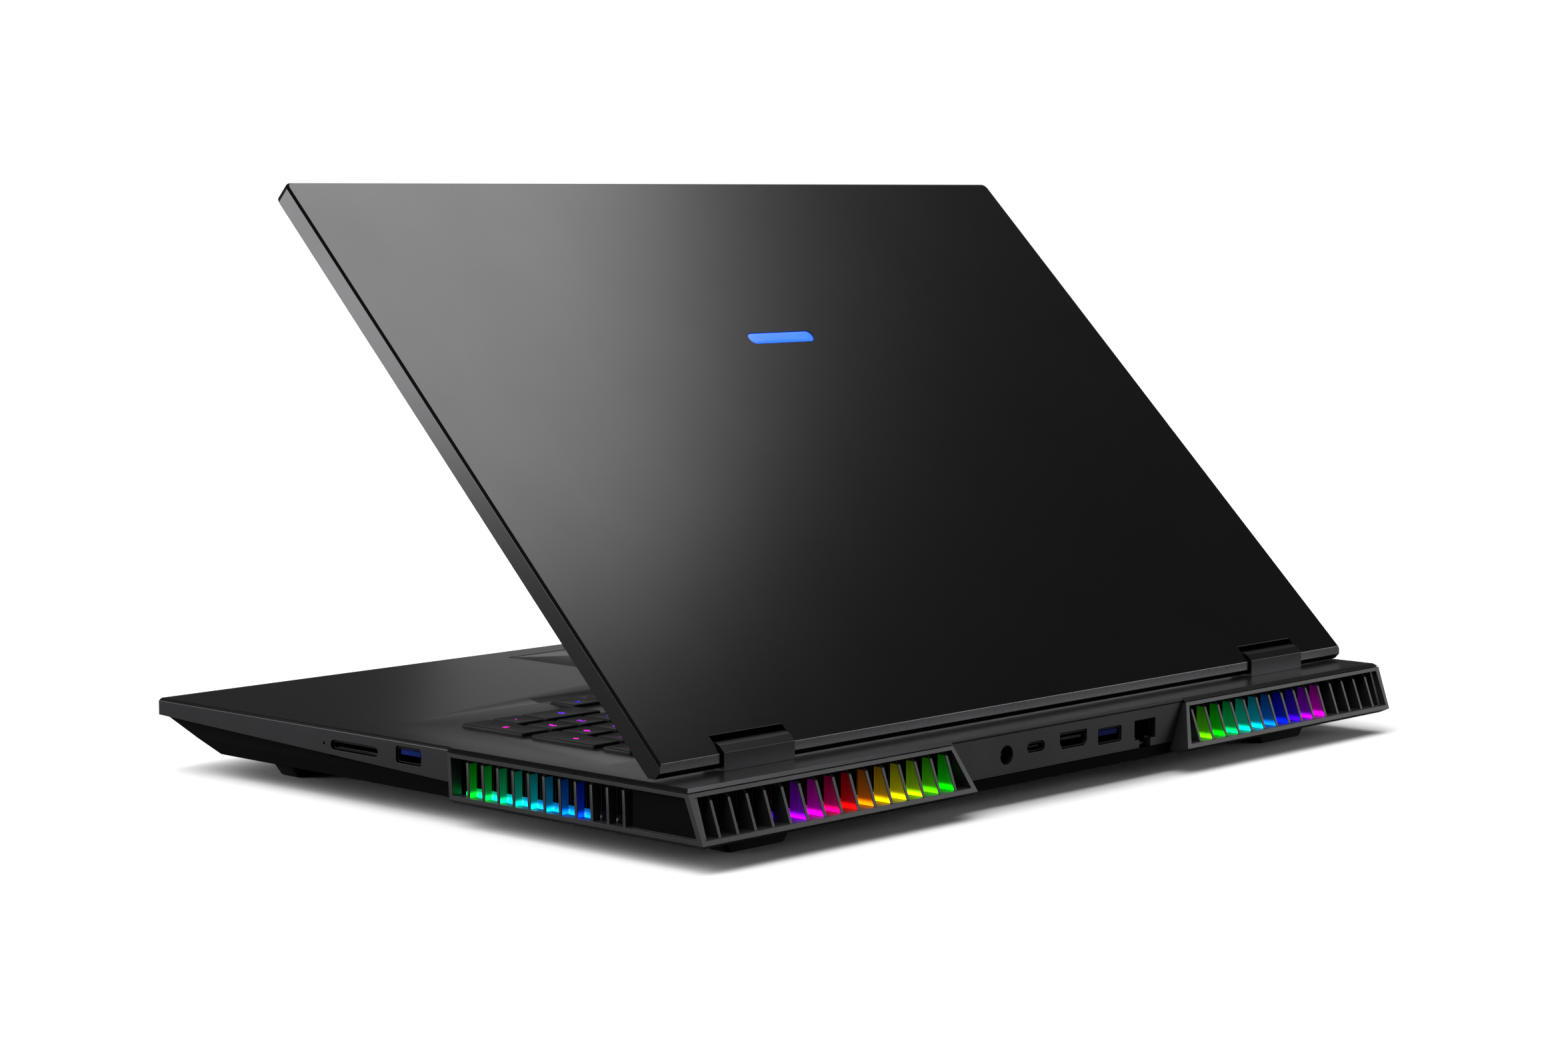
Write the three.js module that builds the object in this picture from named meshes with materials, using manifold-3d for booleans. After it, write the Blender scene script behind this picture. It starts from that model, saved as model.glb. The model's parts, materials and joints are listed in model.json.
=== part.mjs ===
// A gaming laptop computer with its lid part open. Millimetres, +Z up, +X to the user's right and -Y
// towards the user. The origin is on the floor, under the middle of the box around the whole laptop.
import * as THREE from "three";
import { mergeVertices } from "three/addons/utils/BufferGeometryUtils.js";
import Module from "manifold-3d";

const wasm = await Module();
wasm.setup();

// ---- Driving dimensions ----
const GAP = 0.3; // clearance between neighbouring solids
const SHEET = 2; // wall of the top case
const WALL = 1.8; // wall of the bottom case

const BAND_X = 195.6; // half-width over the side bands
const VENT_X = 197.6; // half-width over the vent grilles, at their top edge
const FRONT_Y = -146;
const REAR_Y = 146; // rear edge of the vent grilles, at their bottom
const DECK_Z = 27.4; // top of the deck
const DECK_REAR_Y = 138.2;
const BEVEL_W = 0.8; // bevel along the deck's side edges
const BEVEL_H = 1.1;
const BAND_FRONT_Z = 20.9; // lower edge of the side band, at the front
const BAND_SLOPE = -0.0339; // and how it falls towards the rear
const VENT_Y = 22.5; // where the side band ends and the vent grille starts
const VENT_TOP_Z = 26.2;
const VENT_FOOT_Z = 9.5;
const VENT_CHIN_Z = 8;
const RIM_X = 192.3; // the base's walls stand inside these, and the vent grilles outside
const RIM_Y = 136.3;
const FLOOR_Z = 5.5; // underside of the bottom case
const FOOT_TOP_Z = FLOOR_Z - GAP;

const LID_ANGLE = 44.7; // how far the lid stands open, in degrees
const HINGE_Y = 119.6;
const HINGE_Z = 31.65;
const LID_X = 194; // half-width of the lid
const LID_T = 7.5;
const LID_REACH = 266.2; // from the hinge axis to the lid's free edge
const LID_CORNER = 3;
const LID_CORNER_STEPS = 6;
const LID_BEVEL = 0.8;
const NOTCH_X = [130.8, 165.7]; // the two hinge notches in the lid
const NOTCH_REACH = 6.2;
const HINGE_OPENING_Y = [114.3, 124.7]; // opening in the deck under each hinge cover
const SCREEN = { x: 188, near: 38, far: 249.5 }; // visible screen, measured from the hinge axis
const PIN_R = 1.7;
const EMBLEM = { y: -181.2, half: [17.7, 2.5], corner: 2.4 }; // light bar on the lid's back

const PITCH = 18.35; // key pitch
const KEY_D = 14.3; // key depth, front to back
const KEY_GAP = 3.65;
const ROW_Y = -14.9; // front edge of the bottom key row
const BLOCK_X = 100.8; // right edge of the main key block
const BLOCK_UNITS = 14.25; // its width in key pitches
const NUM_PITCH = 14.2;
const NUM_GAP = 1.4;
const NUM_X = 158.3; // right edge of the number pad
const FN_D = 8; // depth of the function keys
const FN_Y = 76.4;
const ARROW_Y = -30.8;
const KEY_FLOOR_Z = 26.4; // floor of the keyboard recess
const STRIP_Z = [23.9, 24.9]; // the hidden strip that joins the keys of one row
const PLATE_Z = [21, 21.9];

const PAD = { x: [-78, 31.5], y: [-131, -60] }; // touchpad
const POWER = { x: 0, y: 100, half: [7, 3], corner: 1.5 }; // power button
const PANEL_Y = 138.3; // outer face of the rear port panel
const PANEL_T = 2;
const PANEL_Z = [11.5, 25.9];
const FAN = { x: 132, y: 65, half: 37, r: 34, z: [9, 20.4] };
const AIR_SLOT = { count: 9, pitch: 6.2, width: 3, half: 28 }; // slots in the underside below each fan

// ---- Finishes ----
const finish = (color, roughness, metalness) =>
  new THREE.MeshStandardMaterial({ color, roughness, metalness });
const ALLOY = finish(0x4a4a4b, 0.5, 0.8);
const TUB = finish(0x141414, 0.7, 0);
const GRILLE = finish(0x2a2a2b, 0.55, 0);
const BEZEL = finish(0x101010, 0.6, 0);
const SCREEN_GLASS = finish(0x07080a, 0.2, 0);
const KEYCAP = finish(0x1c1c1d, 0.6, 0);
const STEEL = finish(0x8a8c8f, 0.35, 1);
const COPPER = finish(0xb06a3c, 0.35, 1);
const RUBBER = finish(0x0c0c0c, 0.9, 0);
const BOARD = finish(0x17301f, 0.6, 0);
const GLOW = finish(0x2f6bff, 0.3, 0);
const PLASTIC = finish(0x0b0b0c, 0.6, 0);
const BLUE = finish(0x0a1a6a, 0.5, 0);

// ---- Solids: every shape is a manifold solid until it goes into a mesh ----
const AXES = {
  x: [new THREE.Vector3(0, 1, 0), new THREE.Vector3(0, 0, 1), new THREE.Vector3(1, 0, 0)],
  y: [new THREE.Vector3(0, 0, 1), new THREE.Vector3(1, 0, 0), new THREE.Vector3(0, 1, 0)],
  z: [new THREE.Vector3(1, 0, 0), new THREE.Vector3(0, 1, 0), new THREE.Vector3(0, 0, 1)],
};

function solidOf(geometry) {
  const bare = geometry.index ? geometry.toNonIndexed() : geometry.clone();
  bare.deleteAttribute("normal");
  bare.deleteAttribute("uv");
  const merged = mergeVertices(bare, 1e-4);
  return new wasm.Manifold(
    new wasm.Mesh({
      numProp: 3,
      vertProperties: merged.attributes.position.array,
      triVerts: new Uint32Array(merged.index.array),
    }),
  );
}

function geometryOf(solid) {
  const { vertProperties, numProp, triVerts } = solid.getMesh();
  const positions = new Float32Array((vertProperties.length / numProp) * 3);
  for (let i = 0; i < positions.length / 3; i += 1) {
    positions.set(vertProperties.subarray(i * numProp, i * numProp + 3), i * 3);
  }
  const geometry = new THREE.BufferGeometry();
  geometry.setAttribute("position", new THREE.BufferAttribute(positions, 3));
  geometry.setIndex(new THREE.BufferAttribute(triVerts, 1));
  return geometry;
}

const join = (first, ...rest) => rest.reduce((whole, piece) => whole.add(piece), first);
const cut = (body, ...tools) => tools.reduce((left, tool) => left.subtract(tool), body);

// A block between two x, two y and two z values.
function block([x0, x1], [y0, y1], [z0, z1]) {
  const geometry = new THREE.BoxGeometry(x1 - x0, y1 - y0, z1 - z0);
  return solidOf(geometry.translate((x0 + x1) / 2, (y0 + y1) / 2, (z0 + z1) / 2));
}

// An outline carried straight along one axis. Its points are (y, z) for x, (z, x) for y, (x, y) for z.
function prism(axis, outline, [from, to]) {
  const shape = new THREE.Shape(outline.map(([a, b]) => new THREE.Vector2(a, b)));
  const geometry = new THREE.ExtrudeGeometry(shape, { depth: to - from, bevelEnabled: false });
  geometry.translate(0, 0, from);
  return solidOf(geometry.applyMatrix4(new THREE.Matrix4().makeBasis(...AXES[axis])));
}

// The same along y, with the outline given as (x, z).
const prismY = (outline, span) => prism("y", outline.map(([x, z]) => [z, x]), span);

// A round bar along an axis, about a centre given in the outline's two directions.
function rod(axis, [a, b], radius, span, sides = 16) {
  const outline = Array.from({ length: sides }, (_, i) => {
    const angle = (2 * Math.PI * (i + 0.5)) / sides;
    return [a + radius * Math.cos(angle), b + radius * Math.sin(angle)];
  });
  return prism(axis, outline, span);
}

// A closed body through rings of points, lowest first, each ring anticlockwise seen from above.
function loft(rings) {
  const count = rings[0].length;
  const index = [];
  for (let level = 0; level + 1 < rings.length; level += 1) {
    for (let i = 0; i < count; i += 1) {
      const [a, b] = [level * count + i, level * count + ((i + 1) % count)];
      index.push(a, b, b + count, a, b + count, a + count);
    }
  }
  const capOf = (ring) =>
    THREE.ShapeUtils.triangulateShape(ring.map(([x, y]) => new THREE.Vector2(x, y)), []);
  const last = (rings.length - 1) * count;
  capOf(rings[0]).forEach(([a, b, c]) => index.push(a, c, b));
  capOf(rings.at(-1)).forEach(([a, b, c]) => index.push(last + a, last + b, last + c));
  const geometry = new THREE.BufferGeometry();
  geometry.setAttribute("position", new THREE.Float32BufferAttribute(rings.flat(2), 3));
  geometry.setIndex(index);
  return solidOf(geometry);
}

const ringAt = (outline, z) => outline.map(([x, y]) => [x, y, z]);

// A rectangle with round corners, anticlockwise.
function roundRect([x0, x1], [y0, y1], radius, steps = 3) {
  const corners = [
    [x1 - radius, y0 + radius, -90],
    [x1 - radius, y1 - radius, 0],
    [x0 + radius, y1 - radius, 90],
    [x0 + radius, y0 + radius, 180],
  ];
  return corners.flatMap(([cx, cy, start]) =>
    Array.from({ length: steps + 1 }, (_, i) => {
      const angle = ((start + (90 * i) / steps) * Math.PI) / 180;
      return [cx + radius * Math.cos(angle), cy + radius * Math.sin(angle)];
    }),
  );
}

const around = (centre, half) => [centre - half, centre + half];
const grow = ([low, high], by) => [low - by, high + by];
const mirrored = (outline) => outline.map(([x, z]) => [-x, z]).reverse();
const bothSides = (outline) => [...outline, ...mirrored(outline)];

// ---- The scene graph: the base stands still, and the lid is turned about the hinge axis ----
const laptop = new THREE.Group();
const lid = new THREE.Group();
lid.position.set(0, HINGE_Y, HINGE_Z);
lid.rotation.x = -THREE.MathUtils.degToRad(LID_ANGLE);
laptop.add(lid);

function put(group, name, solid, material) {
  const mesh = new THREE.Mesh(geometryOf(solid), material);
  mesh.name = name;
  group.add(mesh);
}

// A right-hand piece and its mirror image on the left.
function putPair(group, name, solid, material) {
  const geometry = geometryOf(solid);
  for (const [side, sign] of [["right", 1], ["left", -1]]) {
    const mesh = new THREE.Mesh(geometry, material);
    mesh.name = `${name}_${side}`;
    mesh.scale.x = sign;
    group.add(mesh);
  }
}

// ---- Keys ----
// Each key is { x: [from, to], y: [from, to] }. Widths are in key pitches, from the block's left edge.
const ROWS = {
  key_row_bottom: { row: 0, widths: [1.25, 1, 1, 1.25, 4.75, 1, 1] },
  key_row_lower: { row: 1, widths: [2, ...Array(10).fill(1), 2.25] },
  key_row_home: { row: 2, widths: [1.5, ...Array(11).fill(1), 1.75] },
  key_row_upper: { row: 3, widths: [1.25, ...Array(13).fill(1)] },
  key_row_number: { row: 4, widths: [...Array(13).fill(1), 1.25] },
  key_row_function: { row: 5, widths: [...Array(13).fill(1), 1.25] },
};

function rowSpan(row) {
  const low = row === 5 ? FN_Y : ROW_Y + row * PITCH;
  return [low, low + (row === 5 ? FN_D : KEY_D)];
}

function rowKeys({ row, widths }) {
  const left = BLOCK_X + KEY_GAP - BLOCK_UNITS * PITCH;
  let units = 0;
  return widths.map((width) => {
    const x = [left + units * PITCH, left + (units + width) * PITCH - KEY_GAP];
    units += width;
    return { x, y: rowSpan(row) };
  });
}

// Left, down and right arrows, with the up arrow above the middle one.
function arrowKeys() {
  const keyX = (column) => [BLOCK_X - (column + 1) * PITCH + KEY_GAP, BLOCK_X - column * PITCH];
  const keyAt = (column, y) => ({ x: keyX(column), y });
  const low = [ARROW_Y, ARROW_Y + 13.5];
  return [keyAt(2, low), keyAt(1, low), keyAt(0, low), keyAt(1, rowSpan(0))];
}

// The number pad: columns count from the right, and tall keys span two rows.
function numberKeys() {
  const columnX = (column, wide = 1) => {
    const right = NUM_X - column * NUM_PITCH;
    return [right - wide * NUM_PITCH + NUM_GAP, right];
  };
  const keys = [
    { x: columnX(2, 2), y: rowSpan(0) },
    { x: columnX(1), y: rowSpan(0) },
    { x: columnX(0), y: [rowSpan(0)[0], rowSpan(1)[1]] },
    { x: columnX(0), y: [rowSpan(2)[0], rowSpan(3)[1]] },
  ];
  for (const row of [1, 2, 3, 4, 5]) {
    for (const column of [0, 1, 2, 3]) {
      const tall = column === 0 && row < 4;
      if (!tall) keys.push({ x: columnX(column), y: rowSpan(row) });
    }
  }
  return keys;
}

const keySets = Object.fromEntries(Object.entries(ROWS).map(([name, row]) => [name, rowKeys(row)]));
keySets.arrow_keys = arrowKeys();
keySets.numpad_keys = numberKeys();

// Keys that are joined under the deck by thin strips, and so move as one.
function keySet(keys) {
  const caps = keys.map(({ x, y }) => block(x, y, [STRIP_Z[0] + GAP, DECK_Z]));
  const strips = [];
  const rows = new Map();
  for (const key of keys) {
    const middle = (key.y[0] + Math.min(key.y[1], key.y[0] + KEY_D)) / 2;
    rows.set(middle, [...(rows.get(middle) ?? []), key]);
  }
  for (const [middle, members] of rows) {
    const from = Math.min(...members.map((key) => key.x[0])) + 2;
    const to = Math.max(...members.map((key) => key.x[1])) - 2;
    strips.push(block([from, to], around(middle, 2.5), STRIP_Z));
  }
  if (rows.size > 1) {
    const middles = [...rows.keys()];
    const spine = keys.at(-1).x[0] + 4;
    strips.push(block([spine, spine + 5], [Math.min(...middles), Math.max(...middles)], STRIP_Z));
  }
  return join(...caps, ...strips);
}

for (const [name, keys] of Object.entries(keySets)) put(laptop, name, keySet(keys), KEYCAP);
put(laptop, "keyboard_plate", block([-161, 162], [-36, 87.5], PLATE_Z), STEEL);

// ---- Top case: the deck, its side bands and the keyboard recess ----
// The recess falls from the deck along long ramps at the sides and a steeper one at the front.
function keyboardRecess() {
  const edge = [
    [-182, -31], [34, -31], [40, -41.4], [102, -41.4],
    [106.7, -31], [182, -31], [182, 86.7], [-182, 86.7],
  ];
  const toe = [
    [-159.5, -20.5], [38, -20.5], [42.5, -36], [101.9, -36],
    [102.1, -20.5], [160, -20.5], [160, 85.6], [-159.5, 85.6],
  ];
  return loft([ringAt(toe, KEY_FLOOR_Z), ringAt(edge, DECK_Z), ringAt(edge, DECK_Z + 2)]);
}

function deckOpenings() {
  const below = [DECK_Z - 4, DECK_Z + 1];
  const keys = Object.values(keySets).flat();
  const keyHoles = keys.map(({ x, y }) => block(grow(x, 0.35), grow(y, 0.35), below));
  const hingeHoles = [1, -1].map((side) =>
    block(NOTCH_X.map((x) => side * x).sort((a, b) => a - b), HINGE_OPENING_Y, below),
  );
  return [
    ...keyHoles,
    ...hingeHoles,
    block(grow(PAD.x, 0.4), grow(PAD.y, 0.4), below),
    block(around(POWER.x, POWER.half[0] + 0.4), around(POWER.y, POWER.half[1] + 0.4), below),
  ];
}

const bandFloorZ = (y) => BAND_FRONT_Z + BAND_SLOPE * (y - FRONT_Y);

// Holes through the side bands, each a (y, z) outline on one side.
const SIDE_HOLES = [
  { side: 1, outline: roundRect(around(-30.1, 13.1), around(21.2, 1.75), 1.7) },
  { side: 1, outline: roundRect(around(-0.3, 6.75), around(21.8, 2.95), 0.8, 2) },
  { side: 1, outline: roundRect(around(-47, 0.5), around(21.2, 0.5), 0.45, 2) },
  { side: -1, outline: roundRect(around(-14, 6.75), around(21.8, 2.95), 0.8, 2) },
  { side: -1, outline: roundRect(around(8, 2.2), around(20.8, 2.2), 2.15) },
];
const sideSpan = (side, from, to) => (side > 0 ? [from, to] : [-to, -from]);

function topCase() {
  const acrossX = [-VENT_X - 1, VENT_X + 1];
  const rim = bothSides([[BAND_X, 12], [BAND_X, DECK_Z - BEVEL_H], [BAND_X - BEVEL_W, DECK_Z]]);
  const noseProfile = [
    [FRONT_Y, 12], [VENT_Y, 12], [VENT_Y, DECK_Z],
    [FRONT_Y + BEVEL_W, DECK_Z], [FRONT_Y, DECK_Z - BEVEL_H],
  ];
  const shell = prismY(rim, [FRONT_Y, VENT_Y - GAP]).intersect(prism("x", noseProfile, acrossX));
  const [ahead, behind] = [FRONT_Y - 5, VENT_Y + 5];
  const belowBand = [[ahead, bandFloorZ(ahead)], [ahead, 5], [behind, 5], [behind, bandFloorZ(behind)]];
  const front = cut(
    shell,
    block(around(0, BAND_X - SHEET), [FRONT_Y + SHEET, VENT_Y], [10, DECK_Z - SHEET]),
    prism("x", belowBand, acrossX),
  );
  const under = DECK_Z - SHEET;
  const eaves = [[RIM_X, under], [RIM_X, VENT_TOP_Z], [VENT_X, VENT_TOP_Z], [VENT_X - 1.7, DECK_Z]];
  const rearRim = bothSides(eaves); // it hangs over the vent grilles
  const start = VENT_Y - GAP - 0.2;
  const rearProfile = [
    [start, under], [RIM_Y, under], [RIM_Y, VENT_TOP_Z],
    [DECK_REAR_Y + 1.65, VENT_TOP_Z], [DECK_REAR_Y, DECK_Z], [start, DECK_Z],
  ];
  const rear = prismY(rearRim, [VENT_Y - 1, REAR_Y]).intersect(prism("x", rearProfile, acrossX));
  const corner = bothSides([[67.2, VENT_TOP_Z - 1], [67.2, DECK_Z + 1]]);
  const whole = cut(
    join(front, rear),
    prismY(corner, [DECK_REAR_Y + 0.4, REAR_Y]),
    keyboardRecess(),
    ...deckOpenings(),
    ...SIDE_HOLES.map(({ side, outline }) => prism("x", outline, sideSpan(side, BAND_X - 4, BAND_X + 2))),
  );
  return whole;
}
put(laptop, "top_case", topCase(), ALLOY);

// ---- Bottom case: the black tub, with air slots under the fans ----
function bottomCase() {
  const side = [[176.6, FLOOR_Z], [192.6, 9.3], [193.3, 14], [193.3, 24.6]];
  const innerSide = [[176.3, FLOOR_Z + WALL], [190.9, 10.8], [191.5, 14.2], [191.5, 26]];
  const keel = [
    [-143.7, 24.6], [-143.7, 20.4], [-106, 7.2], [-103.5, FLOOR_Z],
    [126, FLOOR_Z], [138, 7.3], [138, 24.6],
  ];
  const innerKeel = [
    [-141.9, 26], [-141.9, 21.6], [-105.5, 8.95], [-103, FLOOR_Z + WALL],
    [125.7, FLOOR_Z + WALL], [136.1, 8.9], [136.1, 26],
  ];
  const across = [-200, 200];
  const outer = prismY(bothSides(side), [FRONT_Y, REAR_Y]).intersect(prism("x", keel, across));
  const inner = prismY(bothSides(innerSide), [FRONT_Y, REAR_Y]).intersect(prism("x", innerKeel, across));
  const away = [];
  for (const sign of [1, -1]) {
    const span = (from, to) => sideSpan(sign, from, to);
    away.push(block(span(187, 200), [VENT_Y - 0.6, REAR_Y], [10.2, 30]));
    away.push(block(span(RIM_X, 200), [VENT_Y - 0.6, REAR_Y], [6, 30]));
    away.push(block(span(60.2, 200), [134, REAR_Y], [10.2, 30]));
    away.push(block(span(60.2, 200), [RIM_Y, REAR_Y], [6, 30]));
    away.push(block(span(188, 200), [-46.5, 18], [16.4, 30]));
    const slotX = span(FAN.x - AIR_SLOT.half, FAN.x + AIR_SLOT.half);
    for (let i = 0; i < AIR_SLOT.count; i += 1) {
      const y = FAN.y + (i - (AIR_SLOT.count - 1) / 2) * AIR_SLOT.pitch;
      away.push(block(slotX, around(y, AIR_SLOT.width / 2), [0, 10]));
    }
  }
  away.push(block([-68, 68], [134, REAR_Y], [PANEL_Z[0] - GAP, 30]));
  return cut(outer, inner, ...away);
}
put(laptop, "bottom_case", bottomCase(), TUB);

// ---- Feet: rubber bars with sloping ends ----
function foot(x, y) {
  return prismY([[x[0], FOOT_TOP_Z], [x[0] + 4, 0], [x[1] - 4, 0], [x[1], FOOT_TOP_Z]], y);
}
putPair(laptop, "foot_rear", foot([133, 168], [113.5, 125.5]), RUBBER);
putPair(laptop, "foot_front", foot([146, 176], [-103, -91]), RUBBER);

// ---- Vent grilles: a frame round the rear corner, with upright slats ----
const ventRise = (z, foot, top) =>
  foot + ((top - foot) * (z - VENT_FOOT_Z)) / (VENT_TOP_Z - GAP - VENT_FOOT_Z);
const rearFaceY = (z) => ventRise(z, REAR_Y, 139.95);
const sideFaceX = (z) => ventRise(z, 196.75, VENT_X);
const ventEndX = (z) => ventRise(z, 61, 67.5);
const SIDE_SLATS = { first: 31.6, pitch: 7.71, count: 11 };
const REAR_SLATS = { first: 71.1, pitch: 8.31, count: 15 };
const SLAT_T = 1.3;
const SLAT_SETBACK = 1;

function ventGrille() {
  const innerX = RIM_X + GAP;
  const innerY = RIM_Y + GAP;
  const ring = (z, x, y, end) => ringAt(
    [[x, VENT_Y], [x, y], [end, y], [end, innerY], [innerX, innerY], [innerX, VENT_Y]],
    z,
  );
  const top = VENT_TOP_Z - GAP;
  const frame = loft([
    ring(VENT_CHIN_Z, 194, 143.2, 60.6),
    ring(VENT_FOOT_Z, sideFaceX(VENT_FOOT_Z), REAR_Y, ventEndX(VENT_FOOT_Z)),
    ring(top, sideFaceX(top), rearFaceY(top), ventEndX(top)),
  ]);
  const [sill, head] = [11.1, 24.5]; // bottom and top of both windows
  const sideWindow = prism("x", [[24.3, sill], [143.2, sill], [138.3, head], [24.3, head]], [190, 199]);
  const rearWindow = prismY([[195, sill], [195, head], [68.9, head], [64, sill]], [130, 150]);
  const panel = prism("x", [[112, 10.5], [143.6, 10.5], [138.8, 25], [112, 25]], [innerX, 195.2]);
  const slats = [];
  for (let i = 0; i < SIDE_SLATS.count; i += 1) {
    const y = SIDE_SLATS.first + i * SIDE_SLATS.pitch;
    const faceX = (z) => sideFaceX(z) - SLAT_SETBACK;
    const outline = [[innerX, 10.5], [faceX(12), 10.5], [faceX(23), 23.2], [194, 25], [innerX, 25]];
    slats.push(prismY(outline, around(y, SLAT_T / 2)));
  }
  for (let i = 0; i < REAR_SLATS.count; i += 1) {
    const x = REAR_SLATS.first + i * REAR_SLATS.pitch;
    const faceY = (z) => rearFaceY(z) - SLAT_SETBACK;
    const front = [[faceY(10.5), 10.5], [faceY(22.8), 22.8], [faceY(25) - 2, 25]];
    slats.push(prism("x", [[innerY, 10.5], ...front, [innerY, 25]], around(x, SLAT_T / 2)));
  }
  return join(cut(frame, sideWindow, rearWindow), panel, ...slats);
}
putPair(laptop, "vent_grille", ventGrille(), GRILLE);

// ---- Cooling: fin blocks behind the grilles, heat pipes, fans, and the light strips at their foot ----
// A comb of fins: x and y give the block, and the fins run across its shorter side.
function finBlock(x, y, z, pitch = 3.6) {
  const spine = 3;
  const alongX = x[1] - x[0] > y[1] - y[0];
  const [long, short] = alongX ? [x, y] : [y, x];
  const outline = [[long[0], short[0]], [long[1], short[0]]];
  const count = Math.floor((long[1] - long[0]) / pitch);
  for (let i = count; i > 0; i -= 1) {
    const at = long[0] + i * pitch;
    const root = short[0] + spine;
    outline.push([at, short[1]], [at - 1, short[1]], [at - 1, root], [at - pitch, root]);
  }
  outline[1][0] = long[0] + count * pitch;
  outline.pop();
  outline.push([long[0], short[0] + spine]);
  const turned = alongX ? outline : outline.map(([a, b]) => [b, a]);
  return prism("z", turned, z);
}
putPair(laptop, "heatsink_side", finBlock([175, 187.6], [29, 104], [11.9, 22.8]), COPPER);
putPair(laptop, "heatsink_rear", finBlock([72, 185], [113, 131.4], [11.9, 22.8]), COPPER);

const stripOutline = [[192.1, 26], [192.1, 135.9], [66.5, 135.9], [66.5, 132.3], [188.6, 132.3], [188.6, 26]];
putPair(laptop, "light_strip", prism("z", stripOutline, [10.6, 11.8]), GLOW);

function heatPipe() {
  const points = [[14, 60], [40, 82], [62, 98], [80, 107.5], [178, 108]];
  const path = new THREE.CatmullRomCurve3(points.map(([x, y]) => new THREE.Vector3(x, y, 17.2)));
  const flattened = roundRect([-1.6, 1.6], [-2.6, 2.6], 1.2, 1);
  const section = new THREE.Shape(flattened.map(([a, b]) => new THREE.Vector2(a, b)));
  return solidOf(new THREE.ExtrudeGeometry(section, { steps: 18, bevelEnabled: false, extrudePath: path }));
}
putPair(laptop, "heat_pipe", heatPipe(), COPPER);

function fanHousing() {
  const { x, y, half, r, z } = FAN;
  return cut(
    block(around(x, half), around(y, half), z),
    rod("z", [x, y], r + 1.5, [z[0] + 1.2, z[1] - 1.2], 28),
    rod("z", [x, y], 22, [z[0] - 1, z[1] + 1], 28),
    block([x, x + half + 1], around(y, 30), [z[0] + 1.2, z[1] - 1.2]),
    block(around(x, 30), [y, y + half + 1], [z[0] + 1.2, z[1] - 1.2]),
  );
}

function fanImpeller() {
  const { x, y, r, z } = FAN;
  const span = [z[0] + 1.8, z[1] - 1.8];
  const blades = Array.from({ length: 13 }, (_, i) => {
    const blade = new THREE.BoxGeometry(r - 10, 1, span[1] - span[0]);
    blade.translate(10 + (r - 10) / 2, 0, 0).rotateZ(0.35);
    blade.translate(-2, -3.6, 0).rotateZ((2 * Math.PI * i) / 13);
    return solidOf(blade.translate(x, y, (span[0] + span[1]) / 2));
  });
  return join(rod("z", [x, y], 13, span, 26), ...blades);
}
putPair(laptop, "fan_housing", fanHousing(), PLASTIC);
putPair(laptop, "fan_impeller", fanImpeller(), PLASTIC);

// ---- Rear port panel and its sockets ----
// Outlines are (x, z); the plug goes in along -Y.
const PORTS = {
  usb_c: roundRect(around(19.8, 5), around(19.5, 1.9), 1.85),
  hdmi: [[-9.5, 18.4], [-7.9, 16.6], [4.5, 16.6], [6.1, 18.4], [6.1, 22.6], [-9.5, 22.6]],
  usb_a: roundRect(around(-23.15, 6.95), around(18.6, 3.05), 0.8, 2),
  ethernet: [
    [-50.7, 14.6], [-47.75, 14.6], [-47.75, 10], [-41.05, 10],
    [-41.05, 14.6], [-38.1, 14.6], [-38.1, 22], [-50.7, 22],
  ],
};
const DC = { x: 36.2, z: 18.4, r: 3.5 };

function portPanel() {
  const ends = PANEL_Z.map((z) => [ventEndX(z) - GAP, z]);
  const plate = prismY(bothSides(ends), [PANEL_Y - PANEL_T, PANEL_Y]);
  const span = [PANEL_Y - 5, PANEL_Y + 5];
  const openings = Object.values(PORTS).map((outline) => prismY(outline, span));
  return cut(plate, ...openings, rod("y", [DC.z, DC.x], DC.r, span, 20));
}
put(laptop, "rear_port_panel", portPanel(), ALLOY);

// A socket shell: an outline shrunk about its centre, bored out, with a tongue inside.
function socket(outline, axis, [back, mouth], tongue) {
  const low = [0, 1].map((k) => Math.min(...outline.map((p) => p[k])));
  const high = [0, 1].map((k) => Math.max(...outline.map((p) => p[k])));
  const centre = [0, 1].map((k) => (low[k] + high[k]) / 2);
  const half = [0, 1].map((k) => (high[k] - low[k]) / 2);
  const shrink = (by) =>
    outline.map((p) => [0, 1].map((k) => centre[k] + ((p[k] - centre[k]) * (half[k] - by)) / half[k]));
  const carry = axis === "y" ? prismY : (shape, span) => prism("x", shape, span);
  const out = Math.sign(mouth - back);
  const span = (from, to) => [Math.min(from, to), Math.max(from, to)];
  const bore = carry(shrink(GAP + 0.45), span(back + out * 1.5, mouth + out));
  const [left, right] = around(centre[0], half[0] - 1.9);
  const [bottom, top] = tongue.map((z) => centre[1] + z);
  const bar = [[left, bottom], [right, bottom], [right, top], [left, top]];
  const shell = cut(carry(shrink(GAP), span(back, mouth)), bore);
  return join(shell, carry(bar, span(back + out, mouth - out * 0.8)));
}

put(laptop, "usb_c_port", socket(PORTS.usb_c, "y", [127, 137.8], [-0.35, 0.35]), STEEL);
put(laptop, "hdmi_port", socket(PORTS.hdmi, "y", [126, 137.8], [0.1, 1.1]), STEEL);
put(laptop, "usb_a_port_rear", socket(PORTS.usb_a, "y", [123, 137.8], [0, 1.9]), BLUE);

function ethernetPort() {
  const opening = [
    [-50.2, 15.1], [-47.2, 15.1], [-47.2, 13.2], [-41.6, 13.2],
    [-41.6, 15.1], [-38.6, 15.1], [-38.6, 21.5], [-50.2, 21.5],
  ];
  return cut(block([-52.4, -36.4], [118, 136], [12.3, 23.4]), prismY(opening, [120, 137]));
}
put(laptop, "ethernet_port", ethernetPort(), PLASTIC);

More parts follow.
